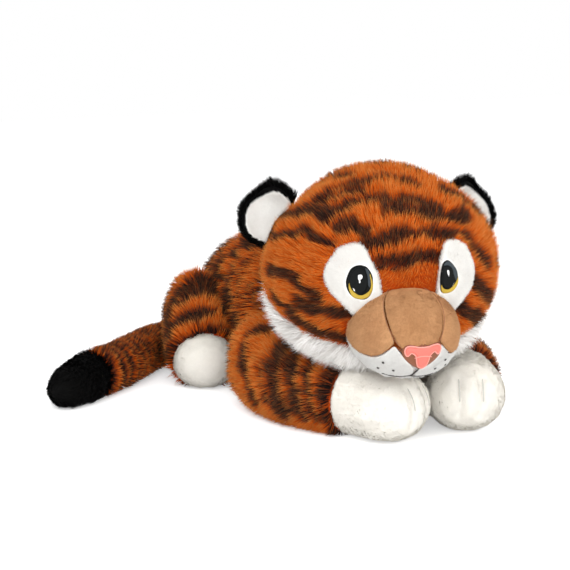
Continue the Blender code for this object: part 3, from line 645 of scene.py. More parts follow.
def cloth_base(node: bpy.types.Object, levels: int) -> bpy.types.Mesh:
    """Rounds a packed skin into the cloth that carries long pile.

    Args:
        node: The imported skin.
        levels: Number of subdivisions.

    Returns:
        The rounded mesh.
    """
    shell = welded(node)
    flat, even = math.radians(FLAT_BEND), math.radians(FLAT_SHAPE)
    bmesh.ops.join_triangles(shell, faces=shell.faces, angle_face_threshold=flat, angle_shape_threshold=even)
    return settled(node.name + "_base", shell, (("SUBSURF", {"levels": levels, "render_levels": levels}),))


def panel_base(node: bpy.types.Object, voxel: float, rounds: int) -> bpy.types.Mesh:
    """Rounds a packed panel into even small faces with soft edges.

    Args:
        node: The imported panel.
        voxel: Size of the small faces.
        rounds: Number of smoothing rounds.

    Returns:
        The rounded mesh.
    """
    steps = (
        ("REMESH", {"mode": "VOXEL", "voxel_size": voxel, "use_smooth_shade": True}),
        ("SMOOTH", {"factor": 0.5, "iterations": rounds}),
    )
    return settled(node.name + "_base", welded(node), steps)


def dented(
    mesh: bpy.types.Mesh, lines: Sequence[Points], width: float, depth: float, centre: Spot | None = None
) -> bpy.types.Mesh:
    """Presses soft grooves into a surface.

    Args:
        mesh: The surface.
        lines: Middle line of each groove.
        width: Half width of a groove.
        depth: Depth of a groove.
        centre: Place that the grooves are pressed towards, or None for straight into the surface.

    Returns:
        The same mesh.
    """
    sheet = Sheet(mesh)
    for line in lines:
        nearest, _ = nearest_on(sheet.places, line)
        apart = np.linalg.norm(sheet.places - nearest, axis=1)
        ways = sheet.normals if centre is None else unit(sheet.places - centre)
        sheet.places -= ways * (depth * np.exp(-((apart / width) ** 2)))[:, None]
    mesh.vertices.foreach_set("co", sheet.places.ravel())
    mesh.update()
    return mesh


class Cloth:
    """Surfaces that strands keep clear of."""

    def __init__(self, sheets: Sequence[Sheet]) -> None:
        """Joins the surfaces.

        Args:
            sheets: The surfaces.
        """
        corners, faces = [], []
        for sheet in sheets:
            faces += (sheet.triangles + len(corners)).tolist()
            corners += sheet.places.tolist()
        self.tree = BVHTree.FromPolygons(corners, faces)

    def apart(self, places: Points, most: float) -> Points:
        """Returns each place's distance from the surfaces, up to the most."""
        found = (self.tree.find_nearest(Vector(place), most)[3] for place in places)
        return np.array([most if distance is None else distance for distance in found])


def clear_of(cloth: Cloth, gap: float) -> Marks:
    """Makes a test for roots that lie at least a gap away from surfaces."""
    return lambda roots: cloth.apart(roots, gap) >= gap


def plain_marks(places: Points) -> Points:
    """Gives no dye anywhere."""
    return np.zeros(len(places))


@dataclass(frozen=True)
class Lay:
    """How strands grow: on which triangles, which way, how dark, how long and on which roots."""

    keep: Keep
    flow: Flow
    marks: Marks = plain_marks
    length: Marks | None = None
    bare: Marks | None = None


@dataclass(frozen=True)
class Trim:
    """Fur cut short beside something: its least share, and how far off it starts and ends to grow back."""

    least: float
    near: float
    far: float

    def share(self, distances: Points) -> Points:
        """Returns the share of the length at each distance."""
        return self.least + (1.0 - self.least) * smooth_step(self.near, self.far, distances)


class Coat:
    """One skin with its strands, grown from a packed skin's rounded form."""

    def __init__(self, name: str, sheet: Sheet, pile: Pile, seed: int) -> None:
        """Keeps what the coat is grown from.

        Args:
            name: Name of the piece.
            sheet: The rounded form.
            pile: Sizes of the strands.
            seed: Picks the scatter of the strands.
        """
        self.name = name
        self.sheet = sheet
        self.pile = pile
        self.rng = np.random.default_rng(seed)

    def clumps(self, roots: Points) -> Points:
        """Finds the clump that each strand leans into.

        Args:
            roots: The strands' roots.

        Returns:
            The number of the strand in the middle of each one's clump.
        """
        centres = range(0, len(roots), self.pile.clump_every)
        tree = KDTree(len(centres))
        for i in centres:
            tree.insert(roots[i], i)
        tree.balance()
        return np.array([tree.find(place)[1] for place in roots])

    def grow(self, lay: Lay) -> bpy.types.Object:
        """Grows the strands and joins them to the base.

        Args:
            lay: How the strands grow.

        Returns:
            The piece, without a material.
        """
        pile, rng = self.pile, self.rng
        roots, normals = self.sheet.roots(pile.count, lay.keep, rng)
        if lay.bare is not None:
            kept = lay.bare(roots)
            roots, normals = roots[kept], normals[kept]
        count = len(roots)
        lie = unit(flattened(lay.flow(roots, normals), normals))
        turn = np.radians(TURN_WAVES.at(roots) * pile.wander + rng.normal(0.0, pile.scatter, count))[:, None]
        lie = lie * np.cos(turn) + np.cross(normals, lie) * np.sin(turn)
        reach = pile.length * (1.0 + rng.uniform(-pile.uneven, pile.uneven, count))
        reach = reach * (1.0 + LENGTH_WAVES.at(roots))
        if lay.length is not None:
            reach = reach * lay.length(roots)
        rises = ((pile.rise_low, pile.low_scatter), (pile.rise_high, pile.high_scatter))
        low, high = (np.radians(rise + rng.normal(0.0, scatter, count))[:, None] for rise, scatter in rises)
        first, second = (normals * np.sin(rise) + lie * np.cos(rise) for rise in (low, high))
        start = roots - normals * pile.sink
        middle = start + first * reach[:, None] * pile.bend
        tip = middle + second * reach[:, None] * (1.0 - pile.bend)
        owner = self.clumps(roots)
        pull = pile.clump * rng.uniform(*pile.clump_pulls, (count, 1))
        tip = tip + (tip[owner] - tip) * pull
        middle = middle + (middle[owner] - middle) * pull * pile.bend_pull
        level, own, shared = pile.tints
        tint = level + own * rng.normal(size=count) + shared * rng.normal(size=count)[owner]
        width_way = unit(np.cross(first, normals))
        twist = rng.normal(0.0, pile.twist, (count, 1))
        width_way = width_way * np.cos(twist) + np.cross(unit(first), width_way) * np.sin(twist)
        half = 0.5 * pile.width * rng.uniform(*pile.widths, (count, 1)) * width_way
        slim = pile.slimmer * half
        ring = np.stack((start - half, start + half, middle - slim, middle + slim, tip), axis=1)
        ring[:, :, 2] = np.maximum(ring[:, :, 2], LOWEST_STRAND)
        blade = np.cross(width_way, -unit(first))
        blade = blade * np.sign((blade * normals).sum(axis=1, keepdims=True))
        soft = unit(pile.facing * normals + (1.0 - pile.facing) * blade)
        dyes = lay.marks(roots + pile.dye_reach * flattened(tip - roots, normals))
        return self.assemble(ring, roots, soft, lay.marks, dyes, np.clip(tint, 0.0, 1.0))

    def assemble(
        self, ring: Points, roots: Points, soft: Points, marks: Marks, dyes: Points, tint: Points
    ) -> bpy.types.Object:
        """Joins the base and the strands into one mesh with what its material reads.

        Args:
            ring: The five corners of each strand.
            roots: Where the strands grow.
            soft: Normals that shade the strands.
            marks: Gives how dark the dye is on the base.
            dyes: How dark each strand's dye is.
            tint: Brightness of each strand, from 0 to 1.

        Returns:
            The piece.
        """
        sheet, pile, (count, corners, _) = self.sheet, self.pile, ring.shape
        offset = len(sheet.places)
        first = offset + corners * np.arange(count)
        quads = first[:, None] + np.array((0, 1, 3, 2))
        tips = first[:, None] + np.array((2, 3, 4))
        mesh = bpy.data.meshes.new(self.name)
        places = np.concatenate((sheet.places, ring.reshape(-1, 3)))
        mesh.from_pydata(places, [], sheet.faces + quads.tolist() + tips.tolist())
        mesh.shade_smooth()
        dyes = np.clip(dyes * self.rng.normal(1.0, pile.dye_scatter, count), 0.0, 1.0)
        along = np.tile((0.0, 0.0, pile.bend, pile.bend, 1.0), count)
        store(mesh, "mark", np.concatenate((marks(sheet.places), np.repeat(dyes, corners))))
        # The base under the strands takes the roots' colour and a low tuft value: painted shade under the pile.
        store(mesh, "along", np.concatenate((np.zeros(offset), along)))
        store(mesh, "tuft", np.concatenate((np.full(offset, BASE_PAINTED_SHADE), np.repeat(tint, corners))))
        store(mesh, "root", np.concatenate((sheet.places, np.repeat(roots, corners, axis=0))))
        self.unwrap(mesh, count)
        normals = np.concatenate((sheet.normals, np.repeat(soft, corners, axis=0)))
        mesh.normals_split_custom_set_from_vertices(normals)
        return linked(self.name, mesh)

    def unwrap(self, mesh: bpy.types.Mesh, count: int) -> None:
        """Gives each face of the base and each strand a cell of its own in the map named by BAKE_MAP.

        Args:
            mesh: The joined mesh.
            count: Number of strands.
        """
        sizes = np.array([len(face) for face in self.sheet.faces])
        cells = len(sizes) + count
        across = math.ceil(math.sqrt(cells))
        shapes = {3: ((0.1, 0.1), (0.9, 0.1), (0.1, 0.9)), 4: ((0.1, 0.1), (0.9, 0.1), (0.9, 0.9), (0.1, 0.9))}
        inside = [shapes.get(size, [(0.5, 0.5)] * size) for size in sizes.tolist()]
        base = np.array([corner for cell in inside for corner in cell]).reshape(-1, 2)
        owners = np.repeat(np.arange(len(sizes)), sizes)
        strand = len(sizes) + np.arange(count)
        low = np.tile(((0.2, 0.05), (0.8, 0.05), (0.75, 0.5), (0.25, 0.5)), (count, 1))
        high = np.tile(((0.25, 0.5), (0.75, 0.5), (0.5, 0.95)), (count, 1))
        spots = np.concatenate((base, low, high))
        owners = np.concatenate((owners, np.repeat(strand, 4), np.repeat(strand, 3)))
        spots = (spots + np.stack((owners % across, owners // across), axis=1)) / across
        layer = mesh.uv_layers.new(name=BAKE_MAP)
        layer.data.foreach_set("uv", spots.astype(np.float32).ravel())


def store(mesh: bpy.types.Mesh, name: str, values: Points) -> None:
    """Stores a number or a vector at each point of a mesh.

    Args:
        mesh: The mesh.
        name: Name that a material reads it by.
        values: One number or vector for each vertex.
    """
    kind, key = ("FLOAT", "value") if values.ndim == 1 else ("FLOAT_VECTOR", "vector")
    layer = mesh.attributes.new(name, kind, "POINT")
    layer.data.foreach_set(key, values.astype(np.float32).ravel())


def smooth_curve(knots: Sequence[tuple[float, ...]], step: float, closed: bool) -> Points:
    """Draws an even smooth curve through knots.

    Args:
        knots: Points of the curve in order.
        step: Distance between the curve's points.
        closed: Whether the curve comes back to its start.

    Returns:
        The curve's points.
    """
    rows = np.array(knots, dtype=float)
    ends = (rows[-1:], rows[:2]) if closed else (2 * rows[:1] - rows[1:2], 2 * rows[-1:] - rows[-2:-1])
    rows = np.concatenate((ends[0], rows, ends[1]))
    fine = []
    t = np.linspace(0.0, 1.0, CURVE_PARTS, endpoint=False)[:, None]
    for a, b, c, d in zip(rows[:-3], rows[1:-2], rows[2:-1], rows[3:]):
        bend = (2 * a - 5 * b + 4 * c - d) * t**2 + (3 * b - a - 3 * c + d) * t**3
        fine.append(0.5 * (2 * b + (c - a) * t + bend))
    fine = np.concatenate(fine + [rows[1:2] if closed else rows[-2:-1]])
    lengths = np.concatenate(((0.0,), np.cumsum(np.linalg.norm(np.diff(fine, axis=0), axis=1))))
    count = max(3, round(lengths[-1] / step))
    places = np.linspace(0.0, lengths[-1], count + 1)[: count if closed else count + 1]
    return np.stack([np.interp(places, lengths, fine[:, i]) for i in range(fine.shape[1])], axis=1)


@dataclass(frozen=True)
class Seat:
    """A place on a rounded form, from which shapes are drawn in millimetres rightwards and upwards."""

    egg: Egg
    middle: Spot
    rise: float

    def lay(self, spots: Points, lifts: Points) -> Points:
        """Lays a drawing on the form.

        Args:
            spots: Offsets from the middle in millimetres, rightwards and upwards as the face is seen.
            lifts: Heights above the form in metres.

        Returns:
            The places, one per row.
        """
        middle, centre = np.array(self.middle), np.array(self.egg.centre)
        out = unit(middle - centre)
        right = unit(np.cross((0.0, 0.0, 1.0), out))
        up = np.cross(out, right)
        starts = middle + MILLIMETRE * (spots[:, :1] * right + spots[:, 1:] * up)
        halves = np.array(self.egg.halves) + self.rise + lifts[:, None]
        p, d = (starts - centre) @ self.egg.spin() / halves, out @ self.egg.spin() / halves
        along, square = (p * d).sum(axis=1), (d * d).sum(axis=1)
        inside = np.maximum(along**2 - square * ((p * p).sum(axis=1) - 1.0), 0.0)
        return starts + ((np.sqrt(inside) - along) / square)[:, None] * out


@dataclass(frozen=True)
class Padding:
    """How an area is padded: heights of edge and middle in metres, widths in millimetres, and its mark."""

    low: float
    high: float
    edge: float
    step: float
    mark: float = 0.0


class Stitchwork:
    """Padded areas and cords of thread that make one sewn piece."""

    def __init__(self, seat: Seat) -> None:
        """Starts a piece on a seat.

        Args:
            seat: Where the piece is drawn.
        """
        self.seat = seat
        self.places: list[Points] = []
        self.marks: list[Points] = []
        self.faces: list[tuple[int, ...]] = []

    def add(self, places: Points, faces: Sequence[Sequence[int]], mark: float) -> None:
        """Adds one closed form.

        Args:
            places: Its vertices.
            faces: Its faces.
            mark: The mark that its material reads.
        """
        offset = sum(len(rows) for rows in self.places)
        self.faces += [tuple(offset + i for i in face) for face in faces]
        self.places.append(places)
        self.marks.append(np.full(len(places), mark))

    def area(self, knots: Knots, padding: Padding) -> None:
        """Adds a padded area.

        Args:
            knots: Its outline in millimetres.
            padding: Its heights, its rounded edge and the size of its faces.
        """
        low, high, step = padding.low, padding.high, padding.step
        rim = smooth_curve(knots, step, True)
        spans = [np.arange(rim[:, i].min(), rim[:, i].max(), step) for i in (0, 1)]
        grid = np.stack(np.meshgrid(*spans), axis=-1).reshape(-1, 2)
        grid[:, 0] += 0.5 * step * (np.round(grid[:, 1] / step) % 2)
        grid = grid[np.linalg.norm(grid[:, None] - rim, axis=2).min(axis=1) > RIM_GAP * step]
        ring = list(range(len(rim)))
        spots = [Vector(row) for row in np.concatenate((rim, grid)).tolist()]
        sides = list(zip(ring, ring[1:] + ring[:1]))
        made, _, faces, *_ = delaunay_2d_cdt(spots, sides, [ring], 1, 1e-5)
        used = sorted({i for face in faces for i in face})
        number = {old: new for new, old in enumerate(used)}
        flat = np.array([tuple(made[i]) for i in used])
        faces = [[number[i] for i in face] for face in faces]
        inset = np.linalg.norm(flat[:, None] - rim, axis=2).min(axis=1)
        dome = np.sqrt(1.0 - (1.0 - np.clip(inset / padding.edge, 0.0, 1.0)) ** 2)
        inner = inset > 1e-3
        below = np.where(inner, len(flat) + np.cumsum(inner) - 1, np.arange(len(flat)))
        top = self.seat.lay(flat, low + (high - low) * dome)
        under = self.seat.lay(flat[inner], np.full(inner.sum(), low - UNDERSIDE * MILLIMETRE))
        back = [[int(below[i]) for i in reversed(face)] for face in faces]
        self.add(np.concatenate((top, under)), faces + back, padding.mark)

    def cord(self, line: Points, ways: Points, radius: float, mark: float = 0.0, closed: bool = False) -> None:
        """Adds a cord of thread.

        Args:
            line: Its middle line in metres.
            ways: The way outwards at each of its points.
            radius: Its radius in metres.
            mark: The mark that its material reads.
            closed: Whether it comes back to its start.
        """
        ahead = np.roll(line, -1, axis=0) - np.roll(line, 1, axis=0) if closed else np.gradient(line, axis=0)
        aside = unit(np.cross(unit(ahead), ways))
        size = np.full(len(line), radius)
        if not closed:
            size[[0, -1]] = CORD_END * radius
        sides, count = CORD_SIDES, len(line)
        angles = np.linspace(0.0, 2.0 * math.pi, sides, endpoint=False)
        spokes = np.cos(angles)[None, :, None] * aside[:, None] + np.sin(angles)[None, :, None] * ways[:, None]
        places = (line[:, None] + size[:, None, None] * spokes).reshape(-1, 3)
        faces = []
        for i in range(count if closed else count - 1):
            near, far = sides * i, sides * ((i + 1) % count)
            faces += [(near + k, near + (k + 1) % sides, far + (k + 1) % sides, far + k) for k in range(sides)]
        if not closed:
            faces += [tuple(reversed(range(sides))), tuple(range(sides * (count - 1), sides * count))]
        self.add(places, faces, mark)

    def drawn_cord(
        self, knots: Knots, radius: float, lift: float, mark: float = 0.0, closed: bool = False, step: float = 0.8
    ) -> None:
        """Adds a cord of thread along a drawn line.

        Args:
            knots: The line in millimetres.
            radius: The cord's radius in metres.
            lift: Height of its middle above the seat's form in metres.
            mark: The mark that its material reads.
            closed: Whether the line comes back to its start.
            step: Distance between its points in millimetres.
        """
        flat = smooth_curve(knots, step, closed)
        line = self.seat.lay(flat, np.full(len(flat), lift))
        self.cord(line, unit(line - self.seat.egg.centre), radius, mark, closed)

    def mesh(self, name: str) -> bpy.types.Mesh:
        """Makes the piece's mesh with faces that look outwards.

        Args:
            name: Name of the mesh.

        Returns:
            The mesh.
        """
        mesh = bpy.data.meshes.new(name)
        mesh.from_pydata(np.concatenate(self.places), [], self.faces)
        store(mesh, "mark", np.concatenate(self.marks))
        shell = bmesh.new()
        shell.from_mesh(mesh)
        bmesh.ops.recalc_face_normals(shell, faces=shell.faces)
        shell.to_mesh(mesh)
        shell.free()
        mesh.shade_smooth()
        return mesh

    def piece(self, name: str) -> bpy.types.Object:
        """Returns the piece, without a material."""
        return linked(name, self.mesh(name))


@dataclass(frozen=True)
class Stripe:
    """One printed stripe, by half of its width and the points that it runs through."""

    half: float
    points: Sequence[tuple[float, ...]]


def stripe_marks(places: Points, lines: Sequence[tuple[float, Points]], seed: int) -> Points:
    """Gives dye along listed stripes.

    Args:
        places: Points, one per row.
        lines: Half width and points of each stripe in metres.
        seed: Picks the wander of the edges.

    Returns:
        The dye from 0 to 1.
    """
    shift = np.stack([Wander(*STRIPE_SHIFT, seed + i).at(places) for i in range(3)], axis=1)
    thin = 1.0 + Wander(*STRIPE_THINNING, seed + 4).at(places)
    dye = np.zeros(len(places))
    for half, line in lines:
        nearest, _ = nearest_on(places + shift, line)
        apart = np.linalg.norm(places + shift - nearest, axis=1) / (half * np.maximum(thin, LEAST_STRIPE))
        dye = np.maximum(dye, 1.0 - smooth_step(*STRIPE_FADE, apart))
    return dye


@dataclass(frozen=True)
class Bands:
    """Dye in bands across a part: the middle and half width of each, their shifts and their thinning."""

    rows: Sequence[tuple[float, float]]
    shifts: Sequence[Wander]
    thinning: Wander

    def marks(self, along: Points, places: Points) -> Points:
        """Gives the dye of the bands.

        Args:
            along: How far along the part each place lies.
            places: Points, one per row.

        Returns:
            The dye from 0 to 1.
        """
        waver = sum(shift.at(places) for shift in self.shifts)
        thin = 1.0 + BAND_THINNING * self.thinning.at(places)
        dye = np.zeros(len(along))
        for middle, half in self.rows:
            apart = np.abs(along + waver - middle) / (half * thin)
            dye = np.maximum(dye, 1.0 - smooth_step(*BAND_FADE, apart))
        return dye

    def along(self, line: Points) -> Marks:
        """Makes the dye of a part from its middle line."""
        return lambda places: self.marks(nearest_on(places, line)[1], places)


def outward_of(line: Points, share: float = FACING_OUT) -> Keep:
    """Makes a test for the side of a skin that faces away from a line inside it.

    Args:
        line: Points along the middle of the part.
        share: Least cosine between the normal and the way outwards.

    Returns:
        The test, from centres and normals.
    """

    def keep(centres: Points, normals: Points) -> Points:
        """Tells which triangles carry pile.

        Args:
            centres: Middles of the triangles.
            normals: Their normals.

        Returns:
            True for each that faces away from the line and isn't pressed on the table.
        """
        nearest, _ = nearest_on(centres, line)
        facing = (unit(centres - nearest) * normals).sum(axis=1) > share
        pressed = (centres[:, 2] < PRESSED_HEIGHT) & (normals[:, 2] < PRESSED_NORMAL)
        return facing & ~pressed

    return keep


def along_line(line: Points, drop: float) -> Flow:
    """Makes a flow that runs along a line and hangs a little.

    Args:
        line: Points along the middle of the part, in the way that the pile lies.
        drop: Share of the way down.

    Returns:
        The flow, from roots and normals.
    """
    spans = np.diff(line, axis=0)
    ways = unit(spans)
    starts = np.concatenate(((0.0,), np.cumsum(np.linalg.norm(spans, axis=1))))

    def flow(roots: Points, normals: Points) -> Points:
        """Gives the way that the pile lies.

        Args:
            roots: The strands' roots.
            normals: The surface's normals there.

        Returns:
            The ways, one per row.
        """
        _, along = nearest_on(roots, line)
        segment = np.clip(np.searchsorted(starts, along, side="right") - 1, 0, len(ways) - 1)
        return ways[segment] - drop * np.array((0.0, 0.0, 1.0))

    return flow


def placed(rows: Sequence[Spot]) -> Points:
    """Moves points from the body's own frame to the row frame."""
    return np.array(rows) + BODY_PLACE


def mirrored(knots: Knots) -> list[tuple[float, float]]:
    """Turns a drawing over from side to side."""
    return [(-u, v) for u, v in reversed(knots)]


# The finishes. Long pile goes from root to middle to tip, in the ground and then in the stripes; its darker root colour
# is painted shade deep in the pile, and its paler tip is partly the cloth's own tipping and partly painted light
# through the tips.
TIGER_PILE = LongPile(
    "striped_long_pile",
    ((0.42, 0.052, 0.003), (0.61, 0.092, 0.003), (0.66, 0.26, 0.058)),
    ((0.007, 0.004, 0.003), (0.012, 0.006, 0.005), (0.080, 0.038, 0.021)),
)
WHITE_PILE = LongPile("white_long_pile", ((0.95, 0.94, 0.92), (0.97, 0.96, 0.94), (0.97, 0.96, 0.94)))
BLACK_PILE = LongPile(
    "black_long_pile", ((0.001, 0.001, 0.001), (0.003, 0.003, 0.003), (0.008, 0.008, 0.008)), sheen=0.0
)
WHITE_PLUSH = ShortPlush("white_short_plush", (0.86, 0.845, 0.81), (0.83, 0.81, 0.775))
# Muzzle lobes: a darker copy of the white plush, painted shade of the lobes.
SHADED_LOBE_PLUSH = ShortPlush("lobe_short_plush", (0.72, 0.715, 0.69), (0.70, 0.69, 0.665))
# Paws: a brighter copy of the white plush, painted light that offsets the shade within the paws' dense nap.
LIT_PAW_PLUSH = ShortPlush("paw_short_plush", (0.96, 0.93, 0.865), (0.94, 0.91, 0.84))
TAN_PLUSH = ShortPlush("tan_short_plush", (0.49, 0.255, 0.118), (0.43, 0.215, 0.095), grain=1.0)
# Muzzle cheeks: a lighter copy of the tan plush, painted light that lifts the shaded cheeks to the bridge's brightness.
LIT_CHEEK_PLUSH = ShortPlush("cheek_short_plush", (0.56, 0.30, 0.142), (0.50, 0.255, 0.118), grain=1.0)
BLACK_THREAD = SatinThread("black_thread", (0.005, 0.006, 0.006), (0.050, 0.060, 0.068), 20.0, gloss=0.08)
SEAM_THREAD = SatinThread("seam_thread", (0.30, 0.12, 0.055))
GOLD_THREAD = SatinThread("gold_thread", (0.52, 0.35, 0.034), turn=70.0)
WHITE_THREAD = SatinThread("white_thread", (0.90, 0.90, 0.90))
BROWN_THREAD = SatinThread("brown_thread", (0.24, 0.085, 0.040), turn=35.0)
PINK_THREAD = SatinThread("pink_thread", (0.90, 0.19, 0.15), (0.93, 0.36, 0.30))
MOUTH_THREAD = SatinThread("mouth_thread", (0.030, 0.024, 0.022))
# Toe stitches: real thread, toned grey as painted shade of the creases that it lies in.
TOE_CREASE_SHADE_THREAD = SatinThread("toe_thread", (0.62, 0.60, 0.55))
FACE_PLUSH = {"eye": WHITE_PLUSH, "lobe": SHADED_LOBE_PLUSH, "cheek": LIT_CHEEK_PLUSH, "bridge": TAN_PLUSH}
MUZZLE_PANELS = ("muzzle_bridge", "muzzle_cheek_left", "muzzle_cheek_right", "muzzle_lobe_left", "muzzle_lobe_right")

# The head's stripes: half width in millimetres, and azimuths and elevations on the head.
HEAD_STRIPES = (
    Stripe(2.5, ((-74, 66), (-59, 71))),
    Stripe(2.5, ((-120, 86), (97, 85), (71, 75), (79, 65))),
    Stripe(3.0, ((-66, 48), (-60, 54), (-49, 59), (-33, 65), (-13, 70), (9, 66), (23, 61))),
    Stripe(3.0, ((-68, 41), (-63, 46), (-54, 50), (-45, 54), (-30, 57))),
    Stripe(3.5, ((-52, 37), (-46, 39), (-38, 45), (-27, 49), (-6, 51), (13, 48), (27, 44))),
    Stripe(4.0, ((-10, 45), (-5, 45), (10, 41), (27, 38), (50, 35))),
    Stripe(4.0, ((-36, 33), (-30, 34), (-21, 31))),
    Stripe(3.5, ((-21, 24), (-17, 25), (-8, 28), (2, 30), (17, 29), (35, 26), (39, 22))),
    Stripe(4.0, ((-20, 9), (-16, 10), (-11, 13), (-3, 14), (4, 16), (17, 14))),
    Stripe(3.5, ((-86, 33), (-72, 37), (-60, 39), (-51, 41))),
    Stripe(3.0, ((-90, 20), (-78, 23), (-64, 27), (-51, 26), (-39, 23))),
    Stripe(3.0, ((-84, 3), (-72, 3), (-62, 2), (-51, -4), (-44, -9))),
    Stripe(2.5, ((-82, -12), (-71, -16), (-62, -19))),
    Stripe(4.0, ((-57, -13), (-50, -15), (-40, -15), (-32, -16), (-27, -17))),
    Stripe(5.0, ((-65, -23), (-59, -26), (-50, -29), (-41, -31), (-34, -34))),
    Stripe(3.5, ((39, 23), (42, 18), (49, 13), (54, 7))),
    Stripe(4.5, ((34, 4), (38, -1), (48, -8), (63, -15))),
    Stripe(5.0, ((29, -13), (35, -17), (52, -25), (64, -30))),
    Stripe(3.5, ((51, 54), (55, 50), (62, 46), (65, 40))),
    Stripe(3.5, ((86, 33), (76, 35), (68, 36))),
    Stripe(3.0, ((92, 20), (82, 23), (72, 25))),
    Stripe(3.0, ((86, 5), (76, 4), (68, 3))),
    Stripe(3.0, ((96, -14), (84, -17), (74, -20))),
    Stripe(2.6, ((-96, 68), (-125, 75), (-170, 79), (150, 78), (120, 73))),
    Stripe(2.8, ((-114, 60), (-140, 65), (-170, 67), (165, 67), (138, 64), (116, 58))),
    Stripe(2.6, ((-124, 48), (-145, 53), (-172, 55), (165, 56))),
    Stripe(2.6, ((150, 50), (130, 47), (120, 43))),
)

# The left front leg's stripes: half width in millimetres, and places in the body's own frame.
FRONT_LEG_STRIPES = (
    Stripe(3.2, ((0.070, 0.022, 0.092), (0.090, 0.030, 0.086), (0.108, 0.030, 0.072), (0.121, 0.024, 0.052),
                 (0.126, 0.014, 0.028))),
    Stripe(3.7, ((0.070, -0.012, 0.088), (0.093, -0.014, 0.086), (0.107, -0.008, 0.083), (0.120, -0.002, 0.074),
                 (0.127, -0.012, 0.057), (0.129, -0.021, 0.048), (0.128, -0.030, 0.036), (0.125, -0.039, 0.026))),
    Stripe(2.5, ((0.123, -0.041, 0.055), (0.126, -0.050, 0.046), (0.126, -0.057, 0.035), (0.122, -0.064, 0.024))),
    Stripe(5.5, ((0.062, -0.034, 0.052), (0.074, -0.038, 0.068), (0.089, -0.044, 0.075), (0.108, -0.050, 0.068),
                 (0.117, -0.058, 0.058), (0.121, -0.065, 0.048), (0.121, -0.073, 0.034), (0.114, -0.079, 0.019))),
    Stripe(4.5, ((0.050, -0.042, 0.042), (0.062, -0.048, 0.062), (0.078, -0.054, 0.072), (0.097, -0.066, 0.068),
                 (0.108, -0.077, 0.059), (0.112, -0.088, 0.047), (0.111, -0.096, 0.034), (0.105, -0.101, 0.020))),
    Stripe(3.2, ((0.040, -0.070, 0.046), (0.052, -0.077, 0.062), (0.068, -0.084, 0.070), (0.084, -0.088, 0.069),
                 (0.097, -0.094, 0.062), (0.103, -0.103, 0.051), (0.105, -0.109, 0.038), (0.099, -0.115, 0.023))),
    Stripe(3.3, ((0.030, -0.098, 0.050), (0.044, -0.106, 0.066), (0.064, -0.115, 0.071), (0.081, -0.120, 0.066),
                 (0.092, -0.119, 0.057), (0.097, -0.121, 0.046), (0.097, -0.124, 0.035), (0.092, -0.126, 0.019))),
)


@dataclass(frozen=True)
class EyeDrawing:
    """The stitched areas of one eye, each as an outline in millimetres round the eye's middle."""

    outline: Knots
    gold: Knots
    grey: Knots
    pupil: Knots
    glint: Knots
    spot: Knots


EYES = {
    Side.RIGHT: EyeDrawing(
        ((-1.2, 15.5), (3.9, 14.3), (7.4, 11), (10.1, 5.7), (10.9, -1.7), (9.9, -9.2), (5.7, -15.3), (-0.7, -16.6),
         (-8.1, -14.1), (-12.4, -8.8), (-14.3, -2.5), (-13.8, 3), (-10.6, 11), (-6.2, 14.5)),
        ((-11.4, -1.2), (-11.8, -5.5), (-10.2, -10.8), (-7.1, -14.7), (-0.7, -16.3), (5.7, -14.7), (9.9, -9.2),
         (11, -2.6), (9.8, 3.7), (8.1, 8.5), (7.6, 5.7), (8.7, 0.4), (8.4, -5.9), (4.6, -10.3), (-0.6, -12.2),
         (-5.9, -9.6), (-9.2, -5.4), (-10.8, -1.2)),
        ((3.1, 13), (6.8, 11), (8.6, 5.7), (9.3, 0.5), (8.4, -5.9), (6.2, -1.8), (5.5, 5.6)),
        ((-2.9, 13.7), (2.2, 12), (5.6, 5.7), (6.5, -1.7), (4.4, -8.4), (-0.6, -12), (-6.2, -9.7), (-9.9, -4.1),
         (-11.2, 2.3), (-8.8, 9.8)),
        ((-3.1, 5.9), (-1.8, 7.3), (0.5, 7.4), (1.8, 5.6), (1.6, 3.4), (0, 2.3), (0, 0.4), (-1.1, -1.8),
         (-2.1, -0.9), (-2.1, 1.3), (-2.9, 2.6)),
        ((-8, -5.5), (-7.1, -5), (-5.7, -6.3), (-4.8, -8.5), (-5.7, -9.2), (-7.1, -8.1)),
    ),
    Side.LEFT: EyeDrawing(
        ((-2.9, 17.5), (2.2, 14), (6.6, 7.1), (8.1, -0.5), (7.1, -6.9), (2.1, -11.9), (-4.8, -13.7), (-10.5, -11.9),
         (-12, -7.4), (-12.3, 1.3), (-10.6, 9.8), (-7.7, 15.4)),
        ((-12, -4.2), (-10.7, -11.7), (-5, -13.5), (2.1, -11.7), (6.6, -6.8), (8, -1.6), (6.9, 1.7), (5.1, -2.4),
         (1.7, -6.3), (-3.7, -9.5), (-8.8, -8.2), (-11, -4.3)),
        ((-6.9, 15.3), (-2.4, 16.7), (2.1, 13.4), (6.4, 7.2), (7.2, 0.7), (5.1, -2.9), (2.4, 2.1), (0.7, 8.8),
         (-3.1, 12.3), (-8, 12.7)),
        ((-8.2, 12.4), (-3.5, 11.9), (0.2, 8.4), (2.1, 2), (4.6, -2.6), (1.3, -6.6), (-3.7, -9.2), (-8.6, -8),
         (-10.8, -4), (-11.2, 2), (-10.1, 8.6)),
        ((-5.7, 8.4), (-4.2, 8.9), (-2.9, 7.3), (-3.2, 3.5), (-3.1, 1.1), (-4.7, 3.2), (-5.9, 5.6)),
        ((3.1, -3.2), (2.1, -5.4), (0.7, -7.5), (0.8, -5.3), (2, -3.2)),
    ),
}

